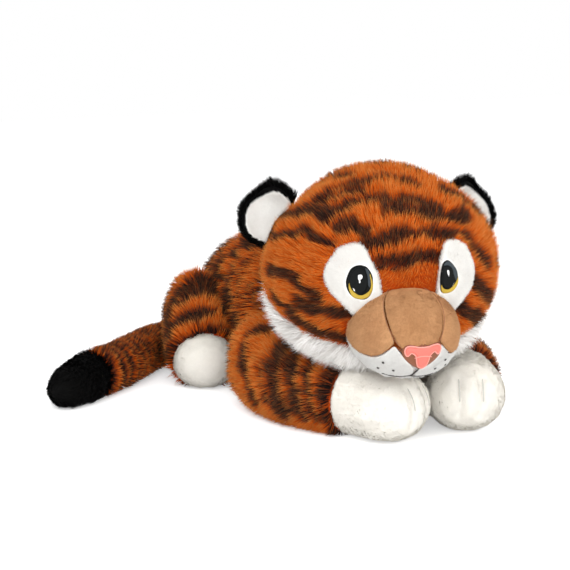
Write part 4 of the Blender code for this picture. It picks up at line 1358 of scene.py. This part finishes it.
# Outlines of the right eye patch, and of half of the nose and of a nostril, in millimetres round their seats.
PATCH = (
    (-7.5, 34.4), (-15, 33.1), (-23.5, 28.6), (-28.9, 21.1), (-33.7, 12.9), (-35.8, 4.3), (-33.1, -4.1),
    (-26.7, -12.9), (-18.1, -21.3), (-11.8, -27.7), (-7.2, -32.1), (-2.6, -28.4), (4.1, -23.1), (12.8, -17.6),
    (18.4, -15.2), (17.4, -6.9), (16, 2.7), (12.6, 11.1), (8.1, 19.4), (3.5, 27.6), (-1.2, 33.6),
)
NOSE_HALF = (
    (0, 11.2), (5, 11.4), (9, 12.2), (13.5, 12.3), (16.4, 10.6), (17.2, 7.8), (16.6, 4.6), (14.8, 2.7), (13, 4),
    (11.4, 5.8), (8.7, 4.8), (6.4, 1.8), (6, -1.7), (4.2, -7.8), (1.6, -10.4), (0, -10.8),
)
NOSTRIL_HALF = (
    (-0.5, 12.2), (5, 12.4), (9, 13.2), (14, 13.4), (17.8, 11.6), (19.5, 7.8), (19.3, 3.5), (16.4, -2.2),
    (9.6, -8.8), (4.5, -12.2), (-0.5, -13.4),
)
NOSE_FOLD = ((-4.5, 1.3), (0.0, 2.6), (4.0, 2.9), (8.0, 2.6), (12.5, 1.3))
NOSE_SHIFT = 4.0

# Azimuths and elevations: the hollow beside the right ear, then the seams and threads of the muzzle.
EAR_HOLLOW = ((-108, 22), (-106, 34), (-104, 46), (-100, 56))
BRIDGE_SEAM = ((-13, -8), (-22, 1), (-31, 18), (-40, 35), (-52, 55), (-62, 72))
LOBE_SEAM = ((-21, -4), (-13, -14), (-1.2, -29))
MOUTH = ((3.5, -27), (3, -33), (0.5, -38), (-3, -43), (-6, -46))
LIP = ((-46, -44), (-34, -47), (-20, -48), (-6, -46), (8, -48), (26, -48), (44, -46))


@dataclass
class Workshop:
    """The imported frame, the finishes made so far and the seeds of the scatter."""

    frame: dict
    made: dict[str, bpy.types.Material] = field(default_factory=dict)
    seed: int = 11
    groove_width: float = 0.005
    groove_depth: float = 0.0038

    def node(self, name: str) -> bpy.types.Object:
        """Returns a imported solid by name."""
        return self.frame["nodes"][name]

    def dress(self, piece: bpy.types.Object, finish: Finish, slot: str) -> None:
        """Gives a piece its material.

        Args:
            piece: The piece.
            finish: Its finish.
            slot: The record's material slot; not used.
        """
        if finish.name not in self.made:
            self.made[finish.name] = finish.make()
        piece.data.materials.clear()
        piece.data.materials.append(self.made[finish.name])

    def sew(
        self, piece: bpy.types.Object, finish: Finish, body: str, nodes: Sequence[str], fill: float | None = None
    ) -> None:
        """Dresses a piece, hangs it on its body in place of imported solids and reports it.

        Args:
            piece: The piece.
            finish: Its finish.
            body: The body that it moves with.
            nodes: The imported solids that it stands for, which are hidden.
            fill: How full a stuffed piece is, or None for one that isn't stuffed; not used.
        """
        self.dress(piece, finish, nodes[0])
        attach(piece, body)
        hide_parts(*nodes)
        log.info("%s rides on %s, %d faces", piece.name, body, len(piece.data.polygons))

    def skin(self, node: str, levels: int = 1) -> Sheet:
        """Returns the rounded form of a packed long-pile skin."""
        return Sheet(cloth_base(self.node(node), levels))

    def panel(self, node: str, voxel: float, rounds: int, grooves: Sequence[Points] = ()) -> Sheet:
        """Returns the rounded form of a packed short-plush panel, with grooves pressed into it."""
        mesh = panel_base(self.node(node), voxel, rounds)
        return Sheet(dented(mesh, grooves, self.groove_width, self.groove_depth))

    def coat(
        self, name: str, sheet: Sheet, pile: Pile, lay: Lay, finish: Finish, body: str, nodes: Sequence[str],
        fill: float,
    ) -> None:
        """Grows a pile on a rounded form with the next seed, and sews the piece on."""
        self.seed += 1
        self.sew(Coat(name, sheet, pile, self.seed).grow(lay), finish, body, nodes, fill)

    def middle_line(self, node: str, count: int = 7) -> Points:
        """Finds points from bottom to top along the middle of a packed thread.

        Args:
            node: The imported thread.
            count: Number of points.

        Returns:
            The points in order.
        """
        rows = Sheet(self.node(node).data).places
        groups = np.array_split(rows[np.argsort(rows[:, 2])], count)
        return np.array([group.mean(axis=0) for group in groups])

    def stitched(self, name: str, node: str, levels: int = 2) -> bpy.types.Object:
        """Rounds a packed patch of thread into a padded stitched area.

        Args:
            name: Name of the piece.
            node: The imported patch.
            levels: Number of subdivisions.

        Returns:
            The piece.
        """
        mesh = cloth_base(self.node(node), levels)
        mesh.shade_smooth()
        return linked(name, mesh)


@dataclass
class Torso:
    """The body's skin over its filling."""

    pile: Pile = Pile(0.016, 0.0008, 46000, rise_low=52.0, rise_high=30.0, clump=0.15)
    spine: Sequence[Spot] = (
        (0.0, -0.030, 0.080), (0.0, 0.012, 0.075), (0.0, 0.055, 0.082), (0.0, 0.110, 0.084),
        (0.0, 0.165, 0.081), (0.0, 0.210, 0.072),
    )
    bands: Bands = Bands(
        tuple((0.030 + 0.0215 * i, 0.0066 - 0.0014 * (i % 2)) for i in range(11)),
        (Wander(0.011, 0.08, 21), Wander(0.004, 0.03, 22)), Wander(1.0, 0.06, 23),
    )
    drop: float = 0.5
    fill: float = 0.7

    def build(self, shop: Workshop) -> None:
        """Builds and fits the body's fur.

        Args:
            shop: The workshop.
        """
        line = placed(self.spine)
        lay = Lay(outward_of(line), along_line(line, self.drop), self.bands.along(line))
        nodes = ("torso_skin", "torso_filling")
        shop.coat("torso_fur", shop.skin("torso_skin"), self.pile, lay, TIGER_PILE, "torso", nodes, self.fill)


@dataclass
class Head:
    """The head with its jaw, muzzle, eyes, nose and stitches."""

    fur: Pile = Pile(0.0128, 0.00058, 62000, rise_low=54.0, rise_high=33.0, clump=0.16)
    jaw_fur: Pile = Pile(
        0.017, 0.0006, 26000, rise_low=66.0, rise_high=44.0, wander=24.0, scatter=24.0, clump=0.05, facing=0.45
    )
    nap: Pile = Pile(0.0022, 0.00035, 5200, clump=0.05, sink=0.0003, facing=1.0)
    patch_nap: Pile = Pile(0.0034, 0.0004, 7000, scatter=30.0, clump=0.05, sink=0.0003, facing=1.0)
    voxel: float = 0.0012
    smoothing: int = 3
    patch_rise: float = 0.0003
    patch_padding: Padding = Padding(0.0, 0.003, 3.5, 1.3)
    nose_padding: Padding = Padding(0.0008, 0.0030, 2.2, 0.8)
    nostril_padding: Padding = Padding(-0.0022, 0.0010, 3.0, 0.8)
    nose_rim: tuple[float, float, float] = (0.0007, 0.0020, 1.0)
    nose_crease: tuple[float, float, float] = (0.0005, 0.0030, 1.0)
    eye_edge: float = 1.0
    eye_step: float = 0.7
    mouth_radius: float = 0.00055
    lip_radius: float = 0.00045
    seam_radius: float = 0.00028
    left_patch: tuple[Sequence[float], Sequence[float]] = ((-20.0, -8.0, 22.0, 36.0), (-13.8, -8.0, 22.0, 30.4))
    eye_rise: float = 0.0033
    parting: float = 1.4
    droop: float = 0.25
    flow_start: tuple[float, float] = (0.0, -18.0)
    beside_jaw: Trim = Trim(0.45, 0.004, 0.020)
    beside_muzzle: Trim = Trim(0.55, 0.002, 0.012)
    beside_ears: Trim = Trim(0.35, 0.006, 0.024)
    beside_patch: Trim = Trim(0.6, 0.022, 0.046)
    hollow_width: float = 0.020
    hollow_depth: float = 0.008
    face_gap: float = 0.002
    jaw_gap: float = 0.003
    thread_gap: float = 0.0009
    pole: tuple[float, float] = (4.0, 2.0)
    pole_limit: float = 60.0
    back_arcs: tuple[float, float] = (98.0, 106.0)
    back_bands: Bands = Bands(
        tuple((112.0 + 11.5 * i, 2.4) for i in range(6)),
        (Wander(2.5, 0.07, 31), Wander(1.0, 0.025, 32)), Wander(1.0, 0.05, 33),
    )
    stripe_seed: int = 34
    fill: float = 0.75
    panel_fill: float = 0.7

    def __post_init__(self) -> None:
        """Works out the stripes' places and the seats of the eyes and the nose."""
        self.stripes = [
            (HEAD_STRIPE_SPREAD * MILLIMETRE * stripe.half,
             smooth_curve(HEAD.line(stripe.points, STRIPE_RISE), STRIPE_STEP, False))
            for stripe in HEAD_STRIPES
        ]
        self.eyes = {side: self.seat(f"eye_outline_{side.label}", HEAD, self.eye_rise) for side in Side}
        self.nose = self.seat("nose", MUZZLE, 0.0)

    def seat(self, node: str, egg: Egg, rise: float) -> Seat:
        """Returns the seat of a packed stitched node on a form."""
        low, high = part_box(node)
        return Seat(egg, tuple((np.array(low) + np.array(high)) / 2.0), rise)

    def keep(self, centres: Points, normals: Points) -> Points:
        """Tells which triangles face away from the head's middle."""
        return ((unit(centres - HEAD.centre) * normals).sum(axis=1) > FACING_OUT) & (centres[:, 2] > 0.0)

    def flow(self, roots: Points, normals: Points) -> Points:
        """Gives the way from the bridge of the nose over the head and round the eye patches.

        Args:
            roots: The strands' roots.
            normals: The surface's normals there.

        Returns:
            The ways, one per row.
        """
        ways = unit(roots - HEAD.line((self.flow_start,))) - self.droop * unit(roots - HEAD.centre)
        for seat in self.eyes.values():
            away = roots - seat.middle
            near, far = self.beside_patch.near, self.beside_patch.far
            close = 1.0 - smooth_step(near, far, np.linalg.norm(away, axis=1))
            ways += self.parting * close[:, None] * unit(away)
        return ways

    def marks(self, places: Points) -> Points:
        """Gives the dye of the head, from stripes in front and bands behind.

        Args:
            places: Points, one per row.

        Returns:
            The dye from 0 to 1.
        """
        azimuth, elevation = HEAD.angles(places)
        level = np.cos(np.radians(np.clip(elevation, 0.0, self.pole_limit)))
        arc = np.hypot((azimuth - self.pole[0]) * level, elevation - self.pole[1])
        behind = self.back_bands.marks(arc, places) * smooth_step(*self.back_arcs, arc)
        flat = HEAD.line(np.stack((azimuth, elevation), axis=1), STRIPE_RISE)
        return np.maximum(stripe_marks(flat, self.stripes, self.stripe_seed), behind)

    def patch(self, side: Side) -> bpy.types.Mesh:
        """Makes the padded form of an eye patch.

        Args:
            side: The patch's side.

        Returns:
            Its mesh.
        """
        knots = PATCH
        if side is Side.LEFT:
            knots = [(np.interp(u, *self.left_patch), v) for u, v in mirrored(PATCH)]
        work = Stitchwork(Seat(HEAD, self.eyes[side].middle, self.patch_rise))
        work.area(knots, self.patch_padding)
        return work.mesh(f"eye_patch_{side.label}_base")

    def eye_pieces(self, side: Side) -> list[SewnPiece]:
        """Stitches one eye.

        Args:
            side: The eye's side.

        Returns:
            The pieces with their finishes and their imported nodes.
        """
        drawing, seat = EYES[side], self.eyes[side]
        layers = (
            ("outline", BLACK_THREAD, ((drawing.outline, 0.1, 1.1, 0.0),)),
            ("iris", GOLD_THREAD, ((drawing.gold, 0.8, 1.6, 0.0),)),
            ("pupil", BLACK_THREAD, ((drawing.grey, 0.8, 1.5, 1.0), (drawing.pupil, 0.9, 1.9, 0.0))),
            ("glint", WHITE_THREAD, ((drawing.glint, 1.5, 2.3, 0.0), (drawing.spot, 1.3, 2.1, 0.0))),
        )
        pieces = []
        for layer, finish, areas in layers:
            work, node = Stitchwork(seat), f"eye_{layer}_{side.label}"
            for knots, low, high, mark in areas:
                padding = Padding(MILLIMETRE * low, MILLIMETRE * high, self.eye_edge, self.eye_step, mark)
                work.area(knots, padding)
            pieces.append((work.piece(node + "_stitching"), finish, node))
        return pieces

    def nose_pieces(self) -> list[SewnPiece]:
        """Stitches the nose with its rolled rim and the nostrils under it.

        Returns:
            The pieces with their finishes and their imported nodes.
        """
        outline = [(u + NOSE_SHIFT, v) for u, v in (*NOSE_HALF, *mirrored(NOSE_HALF[1:-1]))]
        nose = Stitchwork(self.nose)
        nose.area(outline, self.nose_padding)
        nose.drawn_cord(outline, *self.nose_rim, closed=True)
        nose.drawn_cord(NOSE_FOLD, *self.nose_crease)
        pieces = [(nose.piece("nose_stitching"), PINK_THREAD, "nose")]
        for side in Side:
            knots = NOSTRIL_HALF if side is Side.LEFT else mirrored(NOSTRIL_HALF)
            work, node = Stitchwork(self.nose), f"nostril_{side.label}"
            work.area([(u + NOSE_SHIFT, v) for u, v in knots], self.nostril_padding)
            pieces.append((work.piece(node + "_stitching"), BROWN_THREAD, node))
        return pieces

    def thread(self, name: str, lines: Sequence[Knots], radius: float) -> bpy.types.Object:
        """Lays cords of thread in the muzzle's grooves.

        Args:
            name: Name of the piece.
            lines: Azimuths and elevations of each cord.
            radius: The cords' radius.

        Returns:
            The piece.
        """
        work = Stitchwork(self.nose)
        for angles in lines:
            line = smooth_curve(MUZZLE.line(angles, THREAD_LIFT), MILLIMETRE, False)
            work.cord(line, unit(line - MUZZLE.centre), radius)
        return work.piece(name)

    def sew_threads(self, shop: Workshop) -> Cloth:
        """Sews on every stitched piece of the face.

        Args:
            shop: The workshop.

        Returns:
            The surfaces of the threads, which the naps keep clear of.
        """
        threads = [piece for side in Side for piece in self.eye_pieces(side)] + self.nose_pieces()
        threads.append((self.thread("mouth_thread", (MOUTH,), self.mouth_radius), MOUTH_THREAD, "mouth_line"))
        threads.append((self.thread("lip_thread", (LIP,), self.lip_radius), MOUTH_THREAD, "lip_line"))
        seams = [line for seam in (BRIDGE_SEAM, LOBE_SEAM) for line in (list(seam), mirrored(seam))]
        seam = self.thread("muzzle_seam_thread", seams, self.seam_radius)
        sewn = Cloth([Sheet(piece.data) for piece, _, _ in threads] + [Sheet(seam.data)])
        for piece, finish, node in threads:
            shop.sew(piece, finish, "head", (node,))
        shop.dress(seam, SEAM_THREAD, "muzzle_bridge")
        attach(seam, "head")
        for side in Side:
            for i in (1, 2, 3):
                node = f"whisker_dot_{side.label}_{i}"
                shop.sew(shop.stitched(node + "_stitching", node), MOUTH_THREAD, "head", (node,))
        return sewn

    def length(self, roots: Points, beside: Sequence[tuple[Trim, Cloth]]) -> Points:
        """Gives the share of the fur's length, which is cut short beside the face and the ears.

        Args:
            roots: The strands' roots.
            beside: Each trim with the surfaces that it goes by.

        Returns:
            The share at each root.
        """
        share = np.ones(len(roots))
        for trim, cloth in beside:
            share *= trim.share(cloth.apart(roots, trim.far + MILLIMETRE))
        for seat in self.eyes.values():
            share *= self.beside_patch.share(np.linalg.norm(roots - seat.middle, axis=1))
        return share

    def build(self, shop: Workshop) -> None:
        """Builds and fits every piece of the head.

        Args:
            shop: The workshop.
        """
        panels = {name: shop.panel(name, self.voxel, self.smoothing) for name in MUZZLE_PANELS}
        patches = {f"eye_patch_{side.label}": Sheet(self.patch(side)) for side in Side}
        sewn = self.sew_threads(shop)
        face, muzzle = Cloth([*panels.values(), *patches.values()]), Cloth([*panels.values()])
        ears = Cloth([shop.skin(f"ear_back_{side.label}", 0) for side in Side])
        beside = (
            (self.beside_jaw, Cloth([shop.skin("jaw_skin")])), (self.beside_muzzle, muzzle), (self.beside_ears, ears),
        )
        hollows = [smooth_curve(HEAD.line(line), STRIPE_STEP, False) for line in (EAR_HOLLOW, mirrored(EAR_HOLLOW))]
        base = dented(
            cloth_base(shop.node("head_skin"), 1), hollows, self.hollow_width, self.hollow_depth, HEAD.centre
        )
        lay = Lay(
            self.keep, self.flow, self.marks, lambda roots: self.length(roots, beside), clear_of(face, self.face_gap)
        )
        nodes = ("head_skin", "head_filling")
        shop.coat("head_fur", Sheet(base), self.fur, lay, TIGER_PILE, "head", nodes, self.fill)
        lay = Lay(self.keep, self.flow, bare=clear_of(muzzle, self.jaw_gap))
        jaw = shop.skin("jaw_skin")
        shop.coat("jaw_fur", jaw, self.jaw_fur, lay, WHITE_PILE, "head", ("jaw_skin",), self.panel_fill)
        lay = Lay(self.keep, self.flow, bare=clear_of(sewn, self.thread_gap))
        for node, sheet in {**panels, **patches}.items():
            pile = self.patch_nap if node in patches else self.nap
            finish = next(FACE_PLUSH[word] for word in node.split("_") if word in FACE_PLUSH)
            nodes = (node, "muzzle_filling") if node == "muzzle_bridge" else (node,)
            shop.coat(node + "_plush", sheet, pile, lay, finish, "head", nodes, self.panel_fill)


@dataclass
class Ear:
    """One ear: a furry back round a short plush lining."""

    side: Side
    fur: Pile = Pile(0.010, 0.0006, 9000, rise_low=55.0, rise_high=25.0)
    nap: Pile = Pile(0.0028, 0.0004, 4000, scatter=30.0, clump=0.05, sink=0.0003, facing=1.0)
    widened: float = 0.012
    lowered: float = 0.008
    half_width: float = 0.022
    crown: tuple[float, float] = (0.0, 75.0)
    rim_reach: float = 0.35
    root_reach: float = -0.4
    widen_from: float = -0.5
    lower_until: float = 1.3
    lean_forward: float = 0.2
    lean_to_crown: float = 0.5
    outer_share: float = 0.8
    crown_share: float = 0.4
    voxel: float = 0.0013
    smoothing: int = 6
    fill: float = 0.3

    def spread(self, sheet: Sheet, middle: Points, way: Points) -> Sheet:
        """Widens the upper part of the ear towards the crown and lowers its point.

        Args:
            sheet: The ear's rounded form.
            middle: The ear's middle.
            way: The way towards the crown.

        Returns:
            The same form.
        """
        offsets = sheet.places - middle
        share = smooth_step(self.widen_from * self.half_width, self.half_width, offsets[:, 2])
        share *= smooth_step(-self.half_width, self.half_width, offsets @ way)
        sheet.places += self.widened * share[:, None] * way
        top = self.lower_until * self.half_width
        sheet.places[:, 2] -= self.lowered * smooth_step(0.0, top, offsets[:, 2])
        return sheet

    def build(self, shop: Workshop) -> None:
        """Builds and fits the ear.

        Args:
            shop: The workshop.
        """
        back, lining = f"ear_back_{self.side.label}", f"ear_lining_{self.side.label}"
        middle, inner = (np.array((low + high) / 2.0) for low, high in map(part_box, (back, lining)))
        front, crown = unit(inner - middle), HEAD.line((self.crown,))
        way = unit((crown[0] - middle) * np.array((1.0, 1.0, 0.0)))
        way = unit(way - (way @ front) * front)

        def behind(centres: Points, normals: Points) -> Points:
            """Tells which triangles carry the back's fur."""
            rising = (normals * unit(centres - HEAD.centre)).sum(axis=1)
            return (normals @ front < self.rim_reach) & (rising > self.root_reach)

        def before(centres: Points, normals: Points) -> Points:
            """Tells which triangles carry the lining's nap."""
            return normals @ front > 0.0

        def rise(roots: Points, normals: Points) -> Points:
            """Returns the way out of the head and towards the crown."""
            out = unit(roots - HEAD.centre) + self.lean_forward * front
            return out + self.lean_to_crown * unit(crown - roots)

        def length(roots: Points) -> Points:
            """Returns the share of the fur's length, which grows towards the crown."""
            nearer = np.linalg.norm(middle - crown) - np.linalg.norm(roots - crown, axis=1)
            return self.outer_share + self.crown_share * smooth_step(-0.005, 0.02, nearer)

        body = f"ear_{self.side.label}"
        form = self.spread(shop.skin(back, 2), middle, way)
        shop.coat(back + "_fur", form, self.fur, Lay(behind, rise, length=length), BLACK_PILE, body, (back,), self.fill)
        form = self.spread(shop.panel(lining, self.voxel, self.smoothing), middle, way)
        shop.coat(lining + "_plush", form, self.nap, Lay(before, rise), WHITE_PLUSH, body, (lining,), self.fill)


@dataclass
class Leg:
    """A leg with its paw, as both pairs have it."""

    side: Side
    pair: str
    knots: Sequence[Spot]
    fur: Pile
    nap: Pile
    bands: Bands
    toe_stitches: int = 0
    drop: float = 0.35
    paw_drop: float = 0.6
    paw_voxel: float = 0.0022
    paw_smoothing: int = 6
    groove_reach: float = 1.6
    fill: float = 0.65

    def line(self) -> Points:
        """Returns the middle line of the leg from the body to the paw."""
        return placed(np.array(self.knots) * (self.side.value, 1.0, 1.0))

    def marks(self, places: Points) -> Points:
        """Returns the dye at places on the leg."""
        return self.bands.along(self.line())(places)

    def groove(self, rows: Points) -> Points:
        """Runs a toe's groove from its stitch down and round under the paw."""
        below = rows[:1] + self.groove_reach * (rows[0] - rows[3]) * np.array((1.0, -1.0, 1.0))
        return np.concatenate((below, rows))

    def build(self, shop: Workshop) -> None:
        """Builds and fits the leg with its paw and toe stitches.

        Args:
            shop: The workshop.
        """
        label, line = self.side.label, self.line()
        body, skin, paw = (f"{self.pair}_{part}_{label}" for part in ("leg", "leg_skin", "paw_skin"))
        lay = Lay(outward_of(line), along_line(line[::-1], self.drop), self.marks)
        nodes = (skin, f"{self.pair}_leg_filling_{label}")
        shop.coat(f"{self.pair}_leg_fur_{label}", shop.skin(skin), self.fur, lay, TIGER_PILE, body, nodes, self.fill)
        threads = [f"toe_stitch_{label}_{i + 1}" for i in range(self.toe_stitches)]
        grooves = [self.groove(shop.middle_line(node)) for node in threads]
        sheet = shop.panel(paw, self.paw_voxel, self.paw_smoothing, grooves)
        lay = Lay(outward_of(line), along_line(line, self.paw_drop))
        shop.coat(f"{self.pair}_paw_plush_{label}", sheet, self.nap, lay, LIT_PAW_PLUSH, body, (paw,), self.fill)
        for node in threads:
            # The toe threads' grey is painted shade of the creases.
            shop.sew(shop.stitched(node + "_thread", node), TOE_CREASE_SHADE_THREAD, body, (node,))


@dataclass
class FrontLeg(Leg):
    """One front leg, whose stripes are laid out one by one and end in a dark ring beside the paw."""

    pair: str = "front"
    knots: Sequence[Spot] = (
        (0.086, 0.030, 0.048), (0.086, 0.004, 0.048), (0.084, -0.052, 0.0368), (0.062, -0.108, 0.0368),
        (0.0435, -0.170, 0.0364),
    )
    fur: Pile = Pile(0.0145, 0.0008, 24000, rise_low=52.0, rise_high=30.0, clump=0.15)
    nap: Pile = Pile(0.0032, 0.00075, 24000, 26.0, 9.0, scatter=35.0, clump=0.0, sink=0.0003, facing=1.0)
    bands: Bands = Bands(((0.147, 0.005),), (Wander(0.002, 0.03, 44),), Wander(1.0, 0.05, 43))
    toe_stitches: int = 2
    stripe_seed: int = 41

    def marks(self, places: Points) -> Points:
        """Gives the dye of the leg.

        Args:
            places: Points, one per row.

        Returns:
            The dye from 0 to 1.
        """
        mirror = np.array((self.side.value, 1.0, 1.0))
        stripes = [
            (LEG_STRIPE_SPREAD * MILLIMETRE * stripe.half,
             smooth_curve(placed(stripe.points * mirror), STRIPE_STEP, False))
            for stripe in FRONT_LEG_STRIPES
        ]
        return np.maximum(stripe_marks(places, stripes, self.stripe_seed), super().marks(places))


@dataclass
class HindLeg(Leg):
    """One hind leg, with bands from the haunch to the paw."""

    pair: str = "hind"
    knots: Sequence[Spot] = (
        (0.101, 0.190, 0.058), (0.101, 0.165, 0.058), (0.106, 0.140, 0.045), (0.114, 0.105, 0.030),
    )
    fur: Pile = Pile(0.0145, 0.0008, 15000, rise_low=52.0, rise_high=30.0, clump=0.15)
    nap: Pile = Pile(0.0032, 0.00075, 17000, 26.0, 9.0, scatter=35.0, clump=0.0, sink=0.0003, facing=1.0)
    bands: Bands = Bands(
        ((0.006, 0.006), (0.026, 0.0075), (0.047, 0.0075), (0.066, 0.004), (0.084, 0.0055)),
        (Wander(0.003, 0.07, 51), Wander(0.0015, 0.02, 52)), Wander(1.0, 0.05, 53),
    )


@dataclass
class Tail:
    """The tail with its black tip."""

    fur: Pile = Pile(0.0088, 0.0007, 21000, rise_high=24.0, clump=0.15)
    tip_fur: Pile = Pile(0.0080, 0.0007, 11000)
    tip_longer: float = 0.006
    tip_slimmer: float = 0.18
    knots: Sequence[Spot] = (
        (0.0, 0.250, 0.0225), (-0.0701, 0.256, 0.0225), (-0.1279, 0.2299, 0.0230), (-0.1850, 0.1720, 0.0235),
        (-0.2351, 0.1331, 0.0240), (-0.2850, 0.0980, 0.0245),
    )
    bands: Bands = Bands(
        tuple((0.269 - 0.0140 * i, 0.0040 + 0.0006 * (i % 3)) for i in range(19)),
        (Wander(0.0030, 0.06, 61), Wander(0.0006, 0.02, 62)), Wander(0.6, 0.05, 63),
    )
    drop: float = 0.1
    fill: float = 0.65

    def taper(self, sheet: Sheet, line: Points) -> Sheet:
        """Draws the tip's form out to a longer, lower point that still rests on the table.

        Args:
            sheet: The tip's rounded form.
            line: The middle line of the tail.

        Returns:
            The same form.
        """
        ahead = unit(line[-1] - line[-2])
        offsets = sheet.places - line[-1]
        reach = offsets @ ahead
        share = smooth_step(reach.min(), reach.max(), reach)[:, None]
        level = ahead * np.array((1.0, 1.0, 0.0))
        aside = offsets - (offsets @ level)[:, None] * level
        aside[:, 2] = sheet.places[:, 2]
        sheet.places += share * (self.tip_longer * ahead - self.tip_slimmer * aside)
        return sheet

    def build(self, shop: Workshop) -> None:
        """Builds and fits the tail, whose fur lies back towards the body.

        Args:
            shop: The workshop.
        """
        line = placed(self.knots)
        lay = Lay(outward_of(line), along_line(line[::-1], self.drop), self.bands.along(line))
        nodes = ("tail_skin", "tail_filling")
        shop.coat("tail_fur", shop.skin("tail_skin"), self.fur, lay, TIGER_PILE, "tail", nodes, self.fill)
        tip = self.taper(shop.skin("tail_tip"), line)
        lay = Lay(outward_of(line), along_line(line, 0.0))
        shop.coat("tail_tip_fur", tip, self.tip_fur, lay, BLACK_PILE, "tail", ("tail_tip",), self.fill)


@dataclass
class NeckWad:
    """The wad of fibre between the body and the head."""

    fill: float = 0.5

    def build(self, shop: Workshop) -> None:
        """Builds and fits the wad."""
        wad = shop.stitched("neck_wad", "neck_filling")
        shop.sew(wad, WHITE_PLUSH, "neck", ("neck_filling",), self.fill)


def seen_by_camera(tree: bpy.types.NodeTree) -> Socket:
    """Adds a value that is 1 for what the camera sees, straight on or through gloss and glass.

    Args:
        tree: The node tree to add it to.

    Returns:
        The value.
    """
    path = tree.nodes.new("ShaderNodeLightPath")
    seen = path.outputs["Is Camera Ray"]
    for name in ("Is Glossy Ray", "Is Transmission Ray"):
        either = tree.nodes.new("ShaderNodeMath")
        either.operation = "MAXIMUM"
        tree.links.new(seen, either.inputs[0])
        tree.links.new(path.outputs[name], either.inputs[1])
        seen = either.outputs[0]
    return seen


@dataclass(frozen=True)
class Lamp:
    """One soft lamp: its name, where it hangs, the width of its face and its power in watts."""

    name: str
    place: Spot
    size: float
    power: float


@dataclass
class Studio:
    """The table, the white surround, the lamps and the camera."""

    azimuth: float = -27.06
    elevation: float = 10.87
    distance: float = 1.718
    lens: float = 110.8
    sensor: float = 36.0
    farthest: float = 50.0
    aim: Spot = (-0.0343, -0.0783, 0.1406)
    table_half: float = 3.0
    table_glow: float = 0.45
    surround_level: float = 0.82
    table_shade: float = 0.95
    lamps: Sequence[Lamp] = (
        Lamp("key_lamp", (-0.9, -1.1, 1.5), 0.9, 13.0),
        Lamp("fill_lamp", (1.3, -0.9, 0.9), 1.2, 8.0),
        Lamp("front_lamp", (-0.6, -1.7, 0.35), 1.3, 17.0),
    )

    def table(self) -> None:
        """Lays the pale table."""
        mesh = bpy.data.meshes.new("table")
        h = self.table_half
        mesh.from_pydata([(-h, -h, 0.0), (h, -h, 0.0), (h, h, 0.0), (-h, h, 0.0)], [], [(0, 1, 2, 3)])
        top = linked("table", mesh)
        nodes = Nodes("pale_table")
        nodes.shader.inputs["Base Color"].default_value = (*[self.table_shade] * 3, 1.0)
        nodes.surface(0.9, 0.0, specular=0.0)
        nodes.shader.inputs["Emission Color"].default_value = (1.0, 1.0, 1.0, 1.0)
        level = nodes.add("ShaderNodeMath", operation="MULTIPLY")
        level.inputs[1].default_value = self.table_glow
        nodes.join(seen_by_camera(nodes.tree), level.inputs[0])
        nodes.join(level.outputs[0], nodes.shader.inputs["Emission Strength"])
        mesh.materials.append(nodes.material)

    def surround(self) -> None:
        """Sets a white surround that lights the tiger at a plain level."""
        world = bpy.data.worlds.new("surround")
        bpy.context.scene.world = world
        world.use_nodes = True
        tree = world.node_tree
        back = tree.nodes["Background"]
        level = tree.nodes.new("ShaderNodeMapRange")
        level.inputs["To Min"].default_value = self.surround_level
        level.inputs["To Max"].default_value = 1.0
        tree.links.new(seen_by_camera(tree), level.inputs["Value"])
        tree.links.new(level.outputs["Result"], back.inputs["Strength"])
        back.inputs["Color"].default_value = (1.0, 1.0, 1.0, 1.0)

    def hang(self, lamp: Lamp) -> None:
        """Hangs one lamp so that it looks at the tiger.

        Args:
            lamp: The lamp.
        """
        light = bpy.data.lights.new(lamp.name, "AREA")
        light.size = lamp.size
        light.energy = lamp.power
        hung = linked(lamp.name, light)
        hung.location = lamp.place
        hung.rotation_euler = (Vector(self.aim) - Vector(lamp.place)).to_track_quat("-Z", "Y").to_euler()

    def camera(self) -> None:
        """Sets the camera where the photograph was taken from."""
        a, e = math.radians(self.azimuth), math.radians(self.elevation)
        back = Vector((math.sin(a) * math.cos(e), -math.cos(a) * math.cos(e), math.sin(e)))
        data = bpy.data.cameras.new("camera")
        data.lens = self.lens
        data.sensor_width = self.sensor
        data.clip_end = self.farthest
        camera = linked("camera", data)
        camera.location = Vector(self.aim) + back * self.distance
        camera.rotation_euler = (-back).to_track_quat("-Z", "Y").to_euler()
        bpy.context.scene.camera = camera

    def build(self) -> None:
        """Builds the studio."""
        bpy.context.scene.view_settings.view_transform = "Standard"
        self.table()
        self.surround()
        for lamp in self.lamps:
            self.hang(lamp)
        self.camera()


def main() -> None:
    """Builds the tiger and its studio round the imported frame."""
    logging.basicConfig(level=logging.INFO, format="%(name)s: %(message)s")
    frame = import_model()
    shop = Workshop(frame)
    parts = [Torso(), NeckWad(), Head(), Tail()]
    parts += [kind(side) for kind in (Ear, FrontLeg, HindLeg) for side in Side]
    for part in parts:
        part.build(shop)
    Studio().build()


if __name__ == "__main__":
    main()
